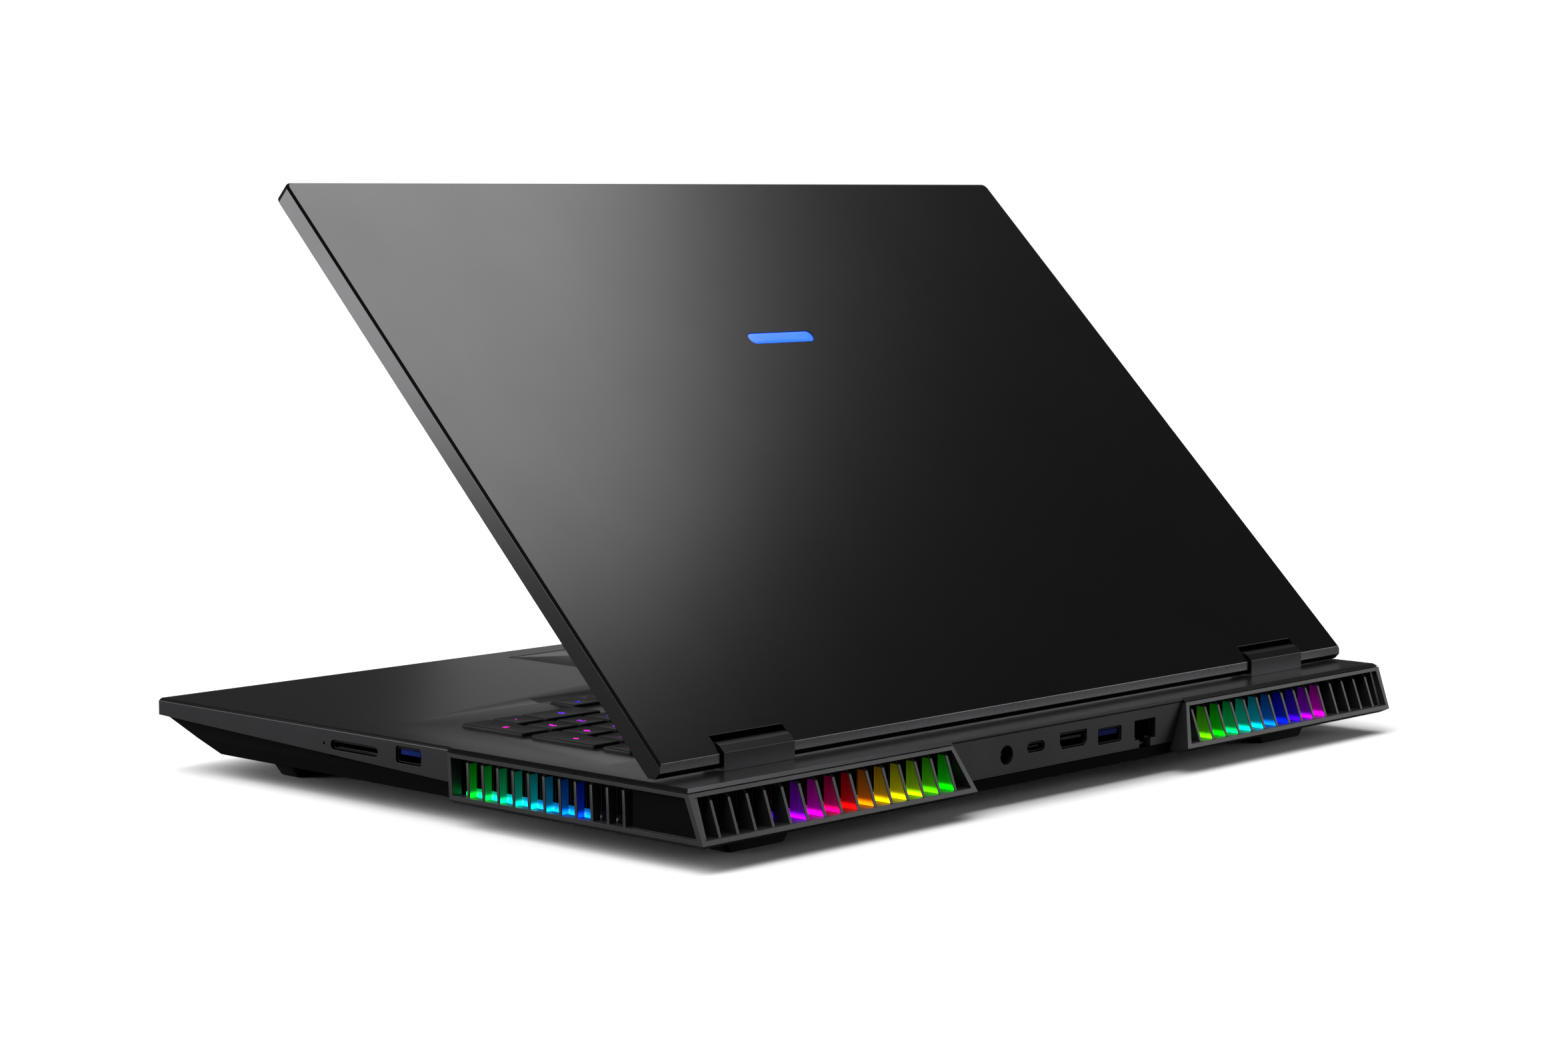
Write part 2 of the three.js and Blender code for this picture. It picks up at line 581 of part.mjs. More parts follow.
function dcJack() {
  const body = block(around(DC.x, 4.8), [122, 136], around(DC.z, 4.8));
  const bored = cut(body, rod("y", [DC.z, DC.x], 3, [124, 137], 12));
  return join(bored, rod("y", [DC.z, DC.x], 0.8, [123, 135.4], 6));
}
put(laptop, "dc_jack", dcJack(), PLASTIC);

// ---- Side sockets ----
const [cardHole, usbRightHole, , usbLeftHole, audioHole] = SIDE_HOLES.map((hole) => hole.outline);
put(laptop, "card_reader", socket(cardHole, "x", [164, 194.8], [-1.2, -0.7]), STEEL);
put(laptop, "usb_a_port_right", socket(usbRightHole, "x", [180, 195], [0, 1.8]), BLUE);
put(laptop, "usb_a_port_left", socket(usbLeftHole, "x", [-180, -195], [0, 1.8]), BLUE);

function audioJack() {
  const [y, z] = [8, 20.8];
  const body = block([-191, -178], around(y, 3.2), around(z, 2.8));
  const nose = rod("x", [y, z], 2.2 - GAP, [-195.2, -190], 12);
  return cut(join(body, nose), rod("x", [y, z], 1.3, [-200, -180], 12));
}
put(laptop, "audio_jack", audioJack(), STEEL);

// ---- Inside the base ----
const boardOutline = bothSides([[178, -42], [178, 18], [90, 18], [90, 104], [62, 104], [62, 133]]);
put(laptop, "motherboard", prism("z", boardOutline, [10.4, 11.9]), BOARD);
put(laptop, "battery_pack", block([-132, 132], [-103, -47], [7.7, 19.6]), PLASTIC);
put(laptop, "ssd_module", block([34, 56], [-38, 42], [12.3, 14.6]), BOARD);
put(laptop, "memory_module", block([-68, 0], [-38, -6], [12.3, 15.8]), BOARD);
putPair(laptop, "speaker", block([140, 186], [-96, -52], [11, 20]), PLASTIC);

// ---- Touchpad and power button ----
put(laptop, "touchpad", block(PAD.x, PAD.y, [25.2, DECK_Z - 0.1]), ALLOY);
const buttonOutline = roundRect(around(POWER.x, POWER.half[0]), around(POWER.y, POWER.half[1]), POWER.corner);
put(laptop, "power_button", prism("z", buttonOutline, [24.2, DECK_Z]), KEYCAP);

// ---- Hinges: covers and steel brackets on the base, arms with their pins on the lid ----
const arc = (radius, from, to, steps) =>
  Array.from({ length: steps + 1 }, (_, i) => {
    const angle = ((from + ((to - from) * i) / steps) * Math.PI) / 180;
    return [HINGE_Y + radius * Math.cos(angle), HINGE_Z + radius * Math.sin(angle)];
  });

function hingeCover() {
  const x = grow(NOTCH_X, -0.4);
  const outer = [[114.6, 25.6], [124.4, 25.6], [124.4, 33.7], ...arc(4.98, 58, 180, 6)];
  const inner = [[116, 24], [123, 24], [123, 32.6], ...arc(3.6, 40, 180, 6)];
  const pinHole = rod("x", [HINGE_Y, HINGE_Z], 2.1, [160, 170], 16);
  return cut(prism("x", outer, x), prism("x", inner, grow(x, -1.6)), pinHole);
}
putPair(laptop, "hinge_cover", hingeCover(), ALLOY);

function hingeBracket() {
  const leg = [[122.2, 23.4], [122.2, 31.6], ...arc(3.2, 30, 180, 6), [116.5, 31.6], [116.5, 23.4]];
  const knuckle = prism("x", leg, [138, 158]);
  const foot = block([136, 160], [96, 122], [23.4, 25.1]);
  return cut(join(knuckle, foot), rod("x", [HINGE_Y, HINGE_Z], PIN_R + 0.08, [130, 170], 16));
}
putPair(laptop, "hinge_bracket", hingeBracket(), STEEL);

// In the lid's own frame the hinge axis is the x axis, and the closed lid reaches along -Y.
function hingeArm() {
  const pin = rod("x", [0, 0], PIN_R, [140, 190], 16);
  return join(pin, block([168, 190], [-28, 1.2], [-1, 1]));
}
putPair(lid, "hinge_arm", hingeArm(), STEEL);

// ---- Lid ----
const END = LID_T / 2; // the lid's hinge end is half its thickness behind the axis
const lidOutline = (inset) => {
  const edge = LID_X - inset;
  const tip = roundRect([-edge, edge], [-LID_REACH + inset, END], LID_CORNER - inset, LID_CORNER_STEPS);
  const perCorner = LID_CORNER_STEPS + 1;
  return [...tip.slice(0, perCorner), [edge, END], [-edge, END], ...tip.slice(3 * perCorner)];
};

function lidBackCover() {
  const wall = 1.6;
  const skin = 1.4;
  const body = loft([
    ringAt(lidOutline(0), -END),
    ringAt(lidOutline(0), END - LID_BEVEL),
    ringAt(lidOutline(LID_BEVEL), END),
  ]);
  const facet = 1.45;
  const profile = prism(
    "x",
    [[-LID_REACH - 1, -END], [facet, -END], [END, -facet], [END, facet], [facet, END], [-LID_REACH - 1, END]],
    [-LID_X - 1, LID_X + 1],
  );
  const hollow = block(around(0, LID_X - wall), [-LID_REACH + wall, -8], [-END - 1, END - skin]);
  const { y, half, corner } = EMBLEM;
  const pocket = roundRect(around(0, half[0] + GAP), around(y, half[1] + GAP), corner + 0.2);
  const away = [hollow, prism("z", pocket, [0, END + 1])];
  for (const sign of [1, -1]) {
    const span = (from, to) => sideSpan(sign, from, to);
    away.push(block(span(...NOTCH_X), [-NOTCH_REACH, END + 1], [-END - 1, END + 1]));
    away.push(block(span(167, 191.5), [-8.1, 2.2], [-2.2, 2.2]));
    away.push(rod("x", [0, 0], PIN_R + 0.4, span(165, 168), 12));
  }
  return cut(body.intersect(profile), ...away);
}
put(lid, "lid_back_cover", lidBackCover(), ALLOY);
const barOutline = roundRect(around(0, EMBLEM.half[0]), around(EMBLEM.y, EMBLEM.half[1]), EMBLEM.corner);
put(lid, "lid_light_bar", prism("z", barOutline, [2.25, END - 0.05]), GLOW);

const BEZEL_Z = [-END + 0.2, -END + 1.2];
const LENS = { y: -258, r: 1.2 };
const BUMPER_Y = -262.2;

function screenBezel() {
  return cut(
    block(around(0, LID_X - 1.9), [-LID_REACH + 1.9, -8.3], BEZEL_Z),
    block(around(0, SCREEN.x), [-SCREEN.far, -SCREEN.near], grow(BEZEL_Z, 1)),
    rod("z", [0, LENS.y], LENS.r + 0.2, grow(BEZEL_Z, 1), 12),
    block([-60.3, 60.3], around(BUMPER_Y, 1), [-END - 1, BEZEL_Z[0] + 0.5]),
  );
}
put(lid, "screen_bezel", screenBezel(), BEZEL);
const panelY = [-SCREEN.far - 3, -SCREEN.near + 6];
put(lid, "lcd_panel", block(around(0, SCREEN.x + 2.5), panelY, [BEZEL_Z[1] + GAP, 1.9]), SCREEN_GLASS);
put(lid, "lid_bumper", block([-60, 60], around(BUMPER_Y, 0.7), [-END - 0.45, BEZEL_Z[0] + 0.2]), RUBBER);

function webcam() {
  const board = block([-14, 14], [-261.6, -254.6], [BEZEL_Z[1] + GAP, 1.4]);
  return join(board, rod("z", [0, LENS.y], LENS.r - 0.1, [BEZEL_Z[0] + 0.2, 0], 12));
}
put(lid, "webcam", webcam(), PLASTIC);

export default laptop;
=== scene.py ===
"""The looks of a gaming laptop computer with its lid part open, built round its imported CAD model."""

import json
import logging
import math
from collections.abc import Sequence
from dataclasses import dataclass
from enum import Enum

import bmesh
import bpy
import numpy as np
from mathutils import Euler, Matrix, Vector

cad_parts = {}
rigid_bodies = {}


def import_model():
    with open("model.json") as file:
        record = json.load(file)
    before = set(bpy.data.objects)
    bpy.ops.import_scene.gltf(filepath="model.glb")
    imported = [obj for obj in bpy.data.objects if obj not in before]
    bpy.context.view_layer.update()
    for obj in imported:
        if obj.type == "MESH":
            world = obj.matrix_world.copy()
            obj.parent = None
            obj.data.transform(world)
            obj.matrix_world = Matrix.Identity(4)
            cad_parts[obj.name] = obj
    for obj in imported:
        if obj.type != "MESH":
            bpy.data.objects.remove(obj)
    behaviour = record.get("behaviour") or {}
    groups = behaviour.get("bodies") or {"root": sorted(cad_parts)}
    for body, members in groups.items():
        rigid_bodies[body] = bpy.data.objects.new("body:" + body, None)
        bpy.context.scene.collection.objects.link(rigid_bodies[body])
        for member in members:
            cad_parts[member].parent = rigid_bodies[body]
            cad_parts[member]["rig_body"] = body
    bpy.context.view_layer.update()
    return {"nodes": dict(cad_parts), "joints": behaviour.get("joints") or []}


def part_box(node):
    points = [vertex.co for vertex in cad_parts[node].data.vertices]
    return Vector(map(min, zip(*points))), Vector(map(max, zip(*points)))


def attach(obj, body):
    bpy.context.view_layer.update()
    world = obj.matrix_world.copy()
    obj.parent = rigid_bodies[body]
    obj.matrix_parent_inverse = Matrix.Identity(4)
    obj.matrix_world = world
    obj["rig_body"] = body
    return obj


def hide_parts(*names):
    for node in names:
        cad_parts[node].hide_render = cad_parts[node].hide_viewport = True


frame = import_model()

log = logging.getLogger("laptop")
Array = np.ndarray
MM = 0.001  # sizes below are in millimetres, and Blender's are in metres


# ---- Colour and material nodes ----
def decoded(srgb: Array) -> Array:
    """Turns sRGB values from 0 to 1 into linear light: a straight foot, then a power of 2.4."""
    return np.where(srgb <= 0.04045, srgb / 12.92, ((srgb + 0.055) / 1.055) ** 2.4)


def linear(colour: str) -> tuple[float, float, float, float]:
    """Turns an sRGB hex colour into linear light.

    Args:
        colour: six hex digits.

    Returns:
        Linear red, green and blue, and an alpha of 1.
    """
    srgb = np.array([int(colour[i : i + 2], 16) for i in (0, 2, 4)]) / 255
    return (*decoded(srgb).tolist(), 1.0)


def hue_colour(degrees: Array) -> Array:
    """Linear colours of full saturation: each channel rises and falls as a clipped triangle wave of the hue.

    Args:
        degrees: hues, 0 for red, 120 for green and 240 for blue.

    Returns:
        Rows of linear red, green and blue.
    """
    wave = (np.asarray(degrees, float)[..., None] / 60 + np.array([5, 3, 1])) % 6
    return decoded(1 - np.clip(np.minimum(wave, 4 - wave), 0, 1))


def add_node(tree: bpy.types.NodeTree, kind: str, settings: dict | None = None, links: dict | None = None):
    """Adds one node.

    Args:
        tree: the node tree that it goes in.
        kind: its type, without the word ShaderNode.
        settings: values of its properties, of its inputs by name or number, or of a ramp's "stops".
        links: the output that feeds each of its inputs.

    Returns:
        The node.
    """
    node = tree.nodes.new("ShaderNode" + kind)
    for key, value in (settings or {}).items():
        if key == "stops":
            ramp = node.color_ramp
            while len(ramp.elements) < len(value):
                ramp.elements.new(0.5)
            for element, (place, colour) in zip(ramp.elements, value):
                element.position = place
                element.color = linear(colour)
        elif isinstance(key, int) or key in node.inputs:
            node.inputs[key].default_value = value
        else:
            setattr(node, key, value)
    for key, output in (links or {}).items():
        tree.links.new(output, node.inputs[key])
    return node


def blank_material(name: str) -> tuple[bpy.types.Material, bpy.types.NodeTree, bpy.types.Node]:
    """Makes a material.

    Args:
        name: what the finish is called.

    Returns:
        The material, its node tree, and the shader that the tree ends in.
    """
    material = bpy.data.materials.new(name)
    material.use_nodes = True
    tree = material.node_tree
    return material, tree, tree.nodes["Principled BSDF"]


def feed(tree: bpy.types.NodeTree, shader: bpy.types.Node, outputs: dict) -> None:
    """Links each output to the shader's input of that name."""
    for socket, output in outputs.items():
        tree.links.new(output, shader.inputs[socket])


def in_scene(name: str, data: bpy.types.ID) -> bpy.types.Object:
    """Makes an object of a mesh, a curve, a lamp or a camera, and puts it in the scene."""
    holder = bpy.data.objects.new(name, data)
    bpy.context.scene.collection.objects.link(holder)
    return holder


def per_mm(size: float) -> float:
    """The scale of a pattern on metre coordinates whose features are that many millimetres across."""
    return 1 / (size * MM)


@dataclass(frozen=True)
class Finish:
    """A painted, moulded or metal surface, with slow clouds of tone and a fine grain in its height and gloss.

    Attributes:
        name: the finish in a maker's words.
        colour: its colour, as sRGB hex.
        clouds: the colour that its slow variation leans to.
        roughness: its middle roughness.
        metallic: 1 for bare metal.
        grain: the size of its grain in millimetres.
        depth: the depth of its grain in millimetres.
        cloud: the size of its clouds in millimetres.
        stretch: how many times longer the grain is along X, as on a brushed surface.
        ior: its index of refraction, which a metal leaves alone.
        coat: the weight of a clear layer over it.
        coat_roughness: the roughness of that layer.
        spread: how far the roughness strays either way.
    """

    name: str
    colour: str
    clouds: str
    roughness: float
    metallic: float = 0.0
    grain: float = 0.35
    depth: float = 0.01
    cloud: float = 28.0
    stretch: float = 1.0
    ior: float | None = None
    coat: float = 0.0
    coat_roughness: float = 0.1
    spread: float = 0.05

    def material(self) -> bpy.types.Material:
        """Builds the tree: two noises on the piece's own coordinates drive colour, roughness and bump."""
        material, tree, shader = blank_material(self.name)
        shader.inputs["Metallic"].default_value = self.metallic
        if self.ior is not None:
            shader.inputs["IOR"].default_value = self.ior
        shader.inputs["Coat Weight"].default_value = self.coat
        shader.inputs["Coat Roughness"].default_value = self.coat_roughness
        place = add_node(tree, "TexCoord").outputs["Object"]
        drawn = add_node(tree, "Mapping", {"Scale": (1 / self.stretch, 1, 1)}, {"Vector": place}).outputs[0]
        fine = {"Scale": per_mm(self.grain), "Detail": 2.0}
        slow = {"Scale": per_mm(self.cloud), "Detail": 3.0}
        grain = add_node(tree, "TexNoise", fine, {"Vector": drawn}).outputs[0]
        cloud = add_node(tree, "TexNoise", slow, {"Vector": place}).outputs[0]
        both = add_node(tree, "Math", {"operation": "MULTIPLY_ADD", 1: 0.35}, {0: grain, 2: cloud}).outputs[0]
        stops = [(0.48, self.colour), (0.86, self.clouds)]
        tone = add_node(tree, "ValToRGB", {"stops": stops}, {0: both}).outputs[0]
        smoothest, roughest = self.roughness - self.spread, self.roughness + self.spread
        reach = {"From Min": 0.3, "From Max": 0.7, "To Min": smoothest, "To Max": roughest}
        gloss = add_node(tree, "MapRange", reach, {"Value": grain}).outputs[0]
        relief = {"Strength": 0.6, "Distance": self.depth * MM}
        bump = add_node(tree, "Bump", relief, {"Height": grain}).outputs[0]
        feed(tree, shader, {"Base Color": tone, "Roughness": gloss, "Normal": bump})
        return material


@dataclass(frozen=True)
class LitPlasticAndPaintedLight:
    """Acrylic with light in it, and the sheets of painted light on the vent slats: its colour and brightness
    are painted on the mesh.

    Attributes:
        name: the finish in a maker's words.
        strength: the brightness where the painted strength is 1.
        body: the colour of the plastic when it is off.
    """

    name: str
    strength: float
    body: str = "101214"

    def material(self) -> bpy.types.Material:
        """Reads the glow attribute, whose colour tints the light and whose fourth value is its strength."""
        material, tree, shader = blank_material(self.name)
        shader.inputs["IOR"].default_value = 1.49
        painted = add_node(tree, "Attribute", {"attribute_name": "glow"})
        place = add_node(tree, "TexCoord").outputs["Object"]
        streaks = add_node(tree, "Mapping", {"Scale": (1, 1, 0.12)}, {"Vector": place}).outputs[0]
        fine = {"Scale": per_mm(0.9), "Detail": 2.0}
        noise = add_node(tree, "TexNoise", fine, {"Vector": streaks}).outputs[0]
        reach = {"To Min": 0.75 * self.strength, "To Max": 1.25 * self.strength}
        uneven = add_node(tree, "MapRange", reach, {"Value": noise}).outputs[0]
        factors = {0: painted.outputs["Alpha"], 1: uneven}
        power = add_node(tree, "Math", {"operation": "MULTIPLY"}, factors).outputs[0]
        stops = [(0.3, self.body), (0.7, "1b1e22")]
        tone = add_node(tree, "ValToRGB", {"stops": stops}, {0: noise}).outputs[0]
        gloss = add_node(tree, "MapRange", {"To Min": 0.25, "To Max": 0.45}, {"Value": noise}).outputs[0]
        feed(tree, shader, {"Base Color": tone, "Roughness": gloss})
        feed(tree, shader, {"Emission Color": painted.outputs["Color"], "Emission Strength": power})
        return material


@dataclass(frozen=True)
class CircuitBoard:
    """Dark green solder mask over copper tracks, with gold pads: fibreglass sheet, printed and etched.

    Attributes:
        name: the finish in a maker's words.
        track: the spacing of the tracks in millimetres.
    """

    name: str
    track: float

    def material(self) -> bpy.types.Material:
        """A brick pattern gives the tracks under the mask, and the cells of a Voronoi give pads and vias."""
        material, tree, shader = blank_material(self.name)
        shader.inputs["Coat Weight"].default_value = 0.6
        place = add_node(tree, "TexCoord").outputs["Object"]
        mask = {"Color1": linear("0f2a1a"), "Color2": linear("12331f"), "Mortar": linear("1d5233")}
        spacing = {"Scale": per_mm(self.track * 8), "Mortar Size": 0.02}
        tracks = add_node(tree, "TexBrick", spacing | mask, {"Vector": place}).outputs["Color"]
        cells = add_node(tree, "TexVoronoi", {"Scale": per_mm(2.4)}, {"Vector": place}).outputs["Distance"]
        pads = add_node(tree, "MapRange", {"From Min": 0.16, "From Max": 0.12}, {"Value": cells}).outputs[0]
        gilt = {"data_type": "RGBA", 7: linear("c9a24a")}
        tone = add_node(tree, "Mix", gilt, {0: pads, 6: tracks}).outputs[2]
        gloss = add_node(tree, "MapRange", {"To Min": 0.5, "To Max": 0.25}, {"Value": pads}).outputs[0]
        bump = add_node(tree, "Bump", {"Strength": 0.5, "Distance": 0.03 * MM}, {"Height": pads}).outputs[0]
        feed(tree, shader, {"Base Color": tone, "Roughness": gloss, "Metallic": pads, "Normal": bump})
        return material


class Look(Enum):
    """The finishes of this laptop, each with what it is made of and what that gives the eye."""

    # Bead-blasted and anodised aluminium sheet: dark grey, a soft wide highlight with a fine sparkle.
    LID_ALLOY = Finish(
        "blasted_dark_anodised_aluminium", "3a3a3b", "3d3d3e", 0.21, 0.96, 0.3, 0.006, 45, spread=0.02
    )
    DECK_ALLOY = Finish(
        "satin_dark_anodised_deck", "38383a", "3c3c3e", 0.33, 0.94, 0.3, 0.005, 40, spread=0.02
    )
    # The same sheet on the facet along the lid's hinge end: paler than the blasted face as a painted
    # highlight, with fine strokes along it.
    CUT_FACET = Finish(
        "facet_aluminium_painted_highlight", "5a5a5c", "626264", 0.28, 1, 0.3, 0.004, 60, stretch=8, spread=0.02
    )
    # Moulded ABS with a spark-eroded skin: near black, broken into tiny dull facets.
    TUB_ABS = Finish("spark_textured_black_abs", "070707", "0b0b0c", 0.74, 0, 0.45, 0.03, 35, ior=1.13)
    # The same plastic, sprayed with a dark metallic lacquer: smoother, with a little flake.
    GRILLE_LACQUER = Finish("lacquered_grille_abs", "262628", "313133", 0.42, 0.25, 0.25, 0.006, 22, ior=1.5)
    # Moulded ABS from a finely etched tool: an even dull black.
    BEZEL_ABS = Finish("fine_textured_bezel_abs", "0d0d0e", "131314", 0.55, 0, 0.3, 0.012, 30, ior=1.53)
    # Glass over a dark panel: nearly a mirror, with the panel's soft black below.
    SCREEN_GLASS = Finish(
        "panel_cover_glass", "040506", "07080a", 0.16, 0, 0.28, 0.001, 60, ior=1.52, coat=0.6
    )
    # Moulded ABS keycaps with a soft-touch coat: an even, dull dark grey.
    KEYCAP_ABS = Finish(
        "soft_touch_keycap_abs", "161617", "1f1f21", 0.5, 0, 0.25, 0.01, 14, ior=1.5, spread=0.08
    )
    # Etched film over the touchpad's plate: satin and very even.
    PAD_FILM = Finish("etched_touchpad_film", "2b2b2d", "343436", 0.34, 0.5, 0.2, 0.003, 50)
    # Cold-rolled steel, stamped and nickel plated: bright, drawn along one way.
    STEEL = Finish("nickel_plated_stamped_steel", "9a9b9d", "b2b3b4", 0.3, 1, 0.4, 0.006, 12, stretch=6)
    # The same steel, passivated black: only its rim catches light.
    SOCKET_STEEL = Finish("black_passivated_socket_steel", "1c1c1e", "28282a", 0.42, 1, 0.4, 0.006, 10)
    # Nylon dyed blue before it is moulded: dull, and deep in the shade of the socket.
    BLUE_INSERT = Finish("moulded_blue_nylon", "091a58", "0b2068", 0.6, 0, 0.4, 0.01, 9, ior=1.15)
    # Bronze blades under a flash of gold: yellow and shiny, rolled along one way.
    GOLD = Finish("gold_flashed_contacts", "d8a948", "e6bd62", 0.25, 1, 0.3, 0.002, 5, stretch=4)
    # Copper tube drawn through a die and pressed flat: warm, with long fine streaks.
    COPPER = Finish("drawn_copper_pipe", "b86a3f", "c98058", 0.32, 1, 0.4, 0.01, 16, stretch=8)
    # Copper fins stamped from foil and blackened: thin dark leaves with a dull shine.
    FIN_FOIL = Finish("blackened_copper_foil", "17100d", "2a1c15", 0.42, 0.8, 0.4, 0.008, 10)
    # Nylon moulded with chopped glass in it: black, with a slightly rough skin.
    BLACK_NYLON = Finish("glass_filled_black_nylon", "0b0b0c", "141415", 0.5, 0, 0.5, 0.02, 20, ior=1.53)
    # Cells in shrunk black film: a plastic shine over coarse creases.
    BATTERY_WRAP = Finish(
        "shrink_wrapped_cells", "111215", "1b1d22", 0.38, 0, 1.4, 0.03, 24, ior=1.5, coat=0.3
    )
    # Silicone moulded in one piece: a deep matt black.
    RUBBER = Finish("moulded_silicone_rubber", "0a0a0a", "121212", 0.82, 0, 0.5, 0.03, 14, ior=1.43)
    # Steel screws in a hot oxide bath: a dark sheen.
    BLACKED_SCREW = Finish("black_oxide_screw_steel", "1b1b1d", "2a2a2c", 0.35, 1, 0.3, 0.006, 4)
    # Printed and etched fibreglass: green mask, with small bright pads.
    BOARD = CircuitBoard("green_solder_mask_board", 0.7)
    # Edge-lit acrylic: almost white at its foot. The dim coloured light on what stands above it is painted
    # light, drawn as glowing sheets on the slats.
    LIGHT_GUIDE = LitPlasticAndPaintedLight("edge_lit_acrylic_guide", 3.6)
    # Painted light: the guides' coloured light falling on the vent slats, drawn as glowing sheets.
    SLAT_LIGHT = LitPlasticAndPaintedLight("painted_light_on_slat_faces", 2.6)
    LIT_LEGEND = LitPlasticAndPaintedLight("laser_cut_lit_legend", 1.6)
    LIT_EMBLEM = LitPlasticAndPaintedLight("lit_emblem_acrylic", 2.2, "0c1830")

    def material(self) -> bpy.types.Material:
        """The Blender material, made once."""
        return bpy.data.materials.get(self.value.name) or self.value.material()


# ---- Surfaces as arrays ----
@dataclass(frozen=True)
class Shell:
    """A surface as arrays.

    Attributes:
        points: one row for each vertex, in millimetres.
        faces: blocks of faces, each block's rows having the same number of corners.
        glow: linear red, green, blue and strength for each vertex, where the piece is lit.
    """

    points: Array
    faces: tuple[Array, ...]
    glow: Array | None = None

    def copies(self, offsets: Array) -> "Shell":
        """The same surface moved by each row of offsets, as one array."""
        step = len(self.points) * np.arange(len(offsets))[:, None, None]
        faces = tuple((f[None] + step).reshape(-1, f.shape[1]) for f in self.faces)
        glow = None if self.glow is None else np.tile(self.glow, (len(offsets), 1))
        return Shell((offsets[:, None] + self.points[None]).reshape(-1, 3), faces, glow)

    def mirrored(self) -> "Shell":
        """The surface's mirror image in x, its faces turned back to point outwards."""
        return Shell(self.points * (-1, 1, 1), tuple(f[:, ::-1] for f in self.faces), self.glow)

    def on_side(self, sign: int) -> "Shell":
        """The surface itself for the right-hand side (1), or its mirror image for the left (-1)."""
        return self if sign > 0 else self.mirrored()

    def turned(self, turn: Matrix) -> "Shell":
        """The surface under a 4 x 4 transform in millimetres."""
        matrix = np.array(turn)
        return Shell(self.points @ matrix[:3, :3].T + matrix[:3, 3], self.faces, self.glow)


def joined(shells: Sequence[Shell]) -> Shell:
    """Several surfaces as one, with their faces counted on."""
    starts = np.cumsum([0] + [len(s.points) for s in shells[:-1]])
    faces = tuple(f + start for shell, start in zip(shells, starts) for f in shell.faces)
    glow = None if shells[0].glow is None else np.concatenate([s.glow for s in shells])
    return Shell(np.concatenate([s.points for s in shells]), faces, glow)


def stacked(rings: Array) -> Shell:
    """Closed bodies skinned over rings of points.

    The side between ring i and i + 1 is a band of quads, and a fan to the ring's mean point closes each end.

    Args:
        rings: bodies x rings x points x 3, the rings lowest first and anticlockwise from above.

    Returns:
        One surface with every body in it.
    """
    bodies, levels, count, _ = rings.shape
    level, at = np.meshgrid(np.arange(levels - 1), np.arange(count), indexing="ij")
    after = (at + 1) % count
    below, above = level * count, (level + 1) * count
    side = np.stack([below + at, below + after, above + after, above + at], -1)
    edge = np.arange(count)
    following = (edge + 1) % count
    top = (levels - 1) * count
    foot, head = levels * count, levels * count + 1
    foot_fan = np.stack([np.full(count, foot), following, edge], -1)
    head_fan = np.stack([np.full(count, head), top + edge, top + following], -1)
    fans = np.concatenate([foot_fan, head_fan])
    ends = rings[:, [0, -1]].mean(axis=2)
    points = np.concatenate([rings.reshape(bodies, -1, 3), ends], axis=1)
    one = Shell(np.zeros((points.shape[1], 3)), (side.reshape(-1, 4), fans))
    return Shell(points.reshape(-1, 3), one.copies(np.zeros((bodies, 3))).faces)


def pads(boxes: Array, radius: float, levels: Sequence[tuple[float, float, float]], steps: int = 4) -> Shell:
    """Closed blocks with round corners, one on each rectangle.

    A ring is the rectangle shrunk by the radius, plus the radius less the level's inset, carried round a
    quarter turn at each corner. The whole ring is then scaled towards the middle by the level's share.

    Args:
        boxes: rows of x0, y0, x1, y1.
        radius: corner radius.
        levels: (share, inset, height) from the lowest ring up.
        steps: points in each corner.

    Returns:
        One surface with a block for each row.
    """
    boxes = np.atleast_2d(np.asarray(boxes, float))
    middle = (boxes[:, :2] + boxes[:, 2:]) / 2
    half = (boxes[:, 2:] - boxes[:, :2]) / 2 - radius
    share, inset, height = np.array(levels, float).T
    quarter = np.repeat(np.arange(4), steps)
    angle = np.radians(90 * quarter + np.tile(np.linspace(0, 90, steps), 4))
    sign = np.array([(1, 1), (-1, 1), (-1, -1), (1, -1)])[quarter]
    reach = (radius - inset)[:, None, None] * np.stack([np.cos(angle), np.sin(angle)], -1)
    flat = share[:, None, None] * (half[:, None, None] * sign + reach) + middle[:, None, None]
    tall = np.broadcast_to(height[:, None, None], (*flat.shape[:3], 1))
    return stacked(np.concatenate([flat, tall], -1))


def lathed(centres: Array, profile: Sequence[tuple[float, float]], sides: int = 24) -> Shell:
    """Round bodies about upright axes: each profile point (radius, height) is carried round a full turn.

    Args:
        centres: rows of x, y, z.
        profile: (radius, height) from the lowest ring up.
        sides: points in each ring.

    Returns:
        One surface with a body at each centre.
    """
    radius, height = np.array(profile, float).T
    angle = 2 * np.pi * np.arange(sides) / sides
    ring = np.stack([np.cos(angle), np.sin(angle)], -1)
    flat = radius[:, None, None] * ring
    tall = np.broadcast_to(height[:, None, None], (*flat.shape[:2], 1))
    one = np.concatenate([flat, tall], -1)
    return stacked(np.atleast_2d(centres)[:, None, None, :] + one)


def blocks(low: Array, high: Array, round_off: float = 0.1) -> Shell:
    """Small upright blocks between rows of low and high corners, their edges broken by round_off."""
    low, high = np.atleast_2d(np.asarray(low, float)), np.atleast_2d(np.asarray(high, float))
    sign = np.array([(1, 1), (-1, 1), (-1, -1), (1, -1)])
    middle, half = (low + high) / 2, (high - low) / 2
    inset = np.array([round_off, 0, 0, round_off])
    height = np.array([0, round_off, -round_off, 0])
    side = np.array([0, 0, 1, 1])
    flat = middle[:, None, None, :2] + sign * (half[:, None, None, :2] - inset[:, None, None])
    tall = low[:, None, 2] * (1 - side) + high[:, None, 2] * side + height
    tall = np.broadcast_to(tall[:, :, None, None], (*flat.shape[:3], 1))
    return stacked(np.concatenate([flat, tall], -1))


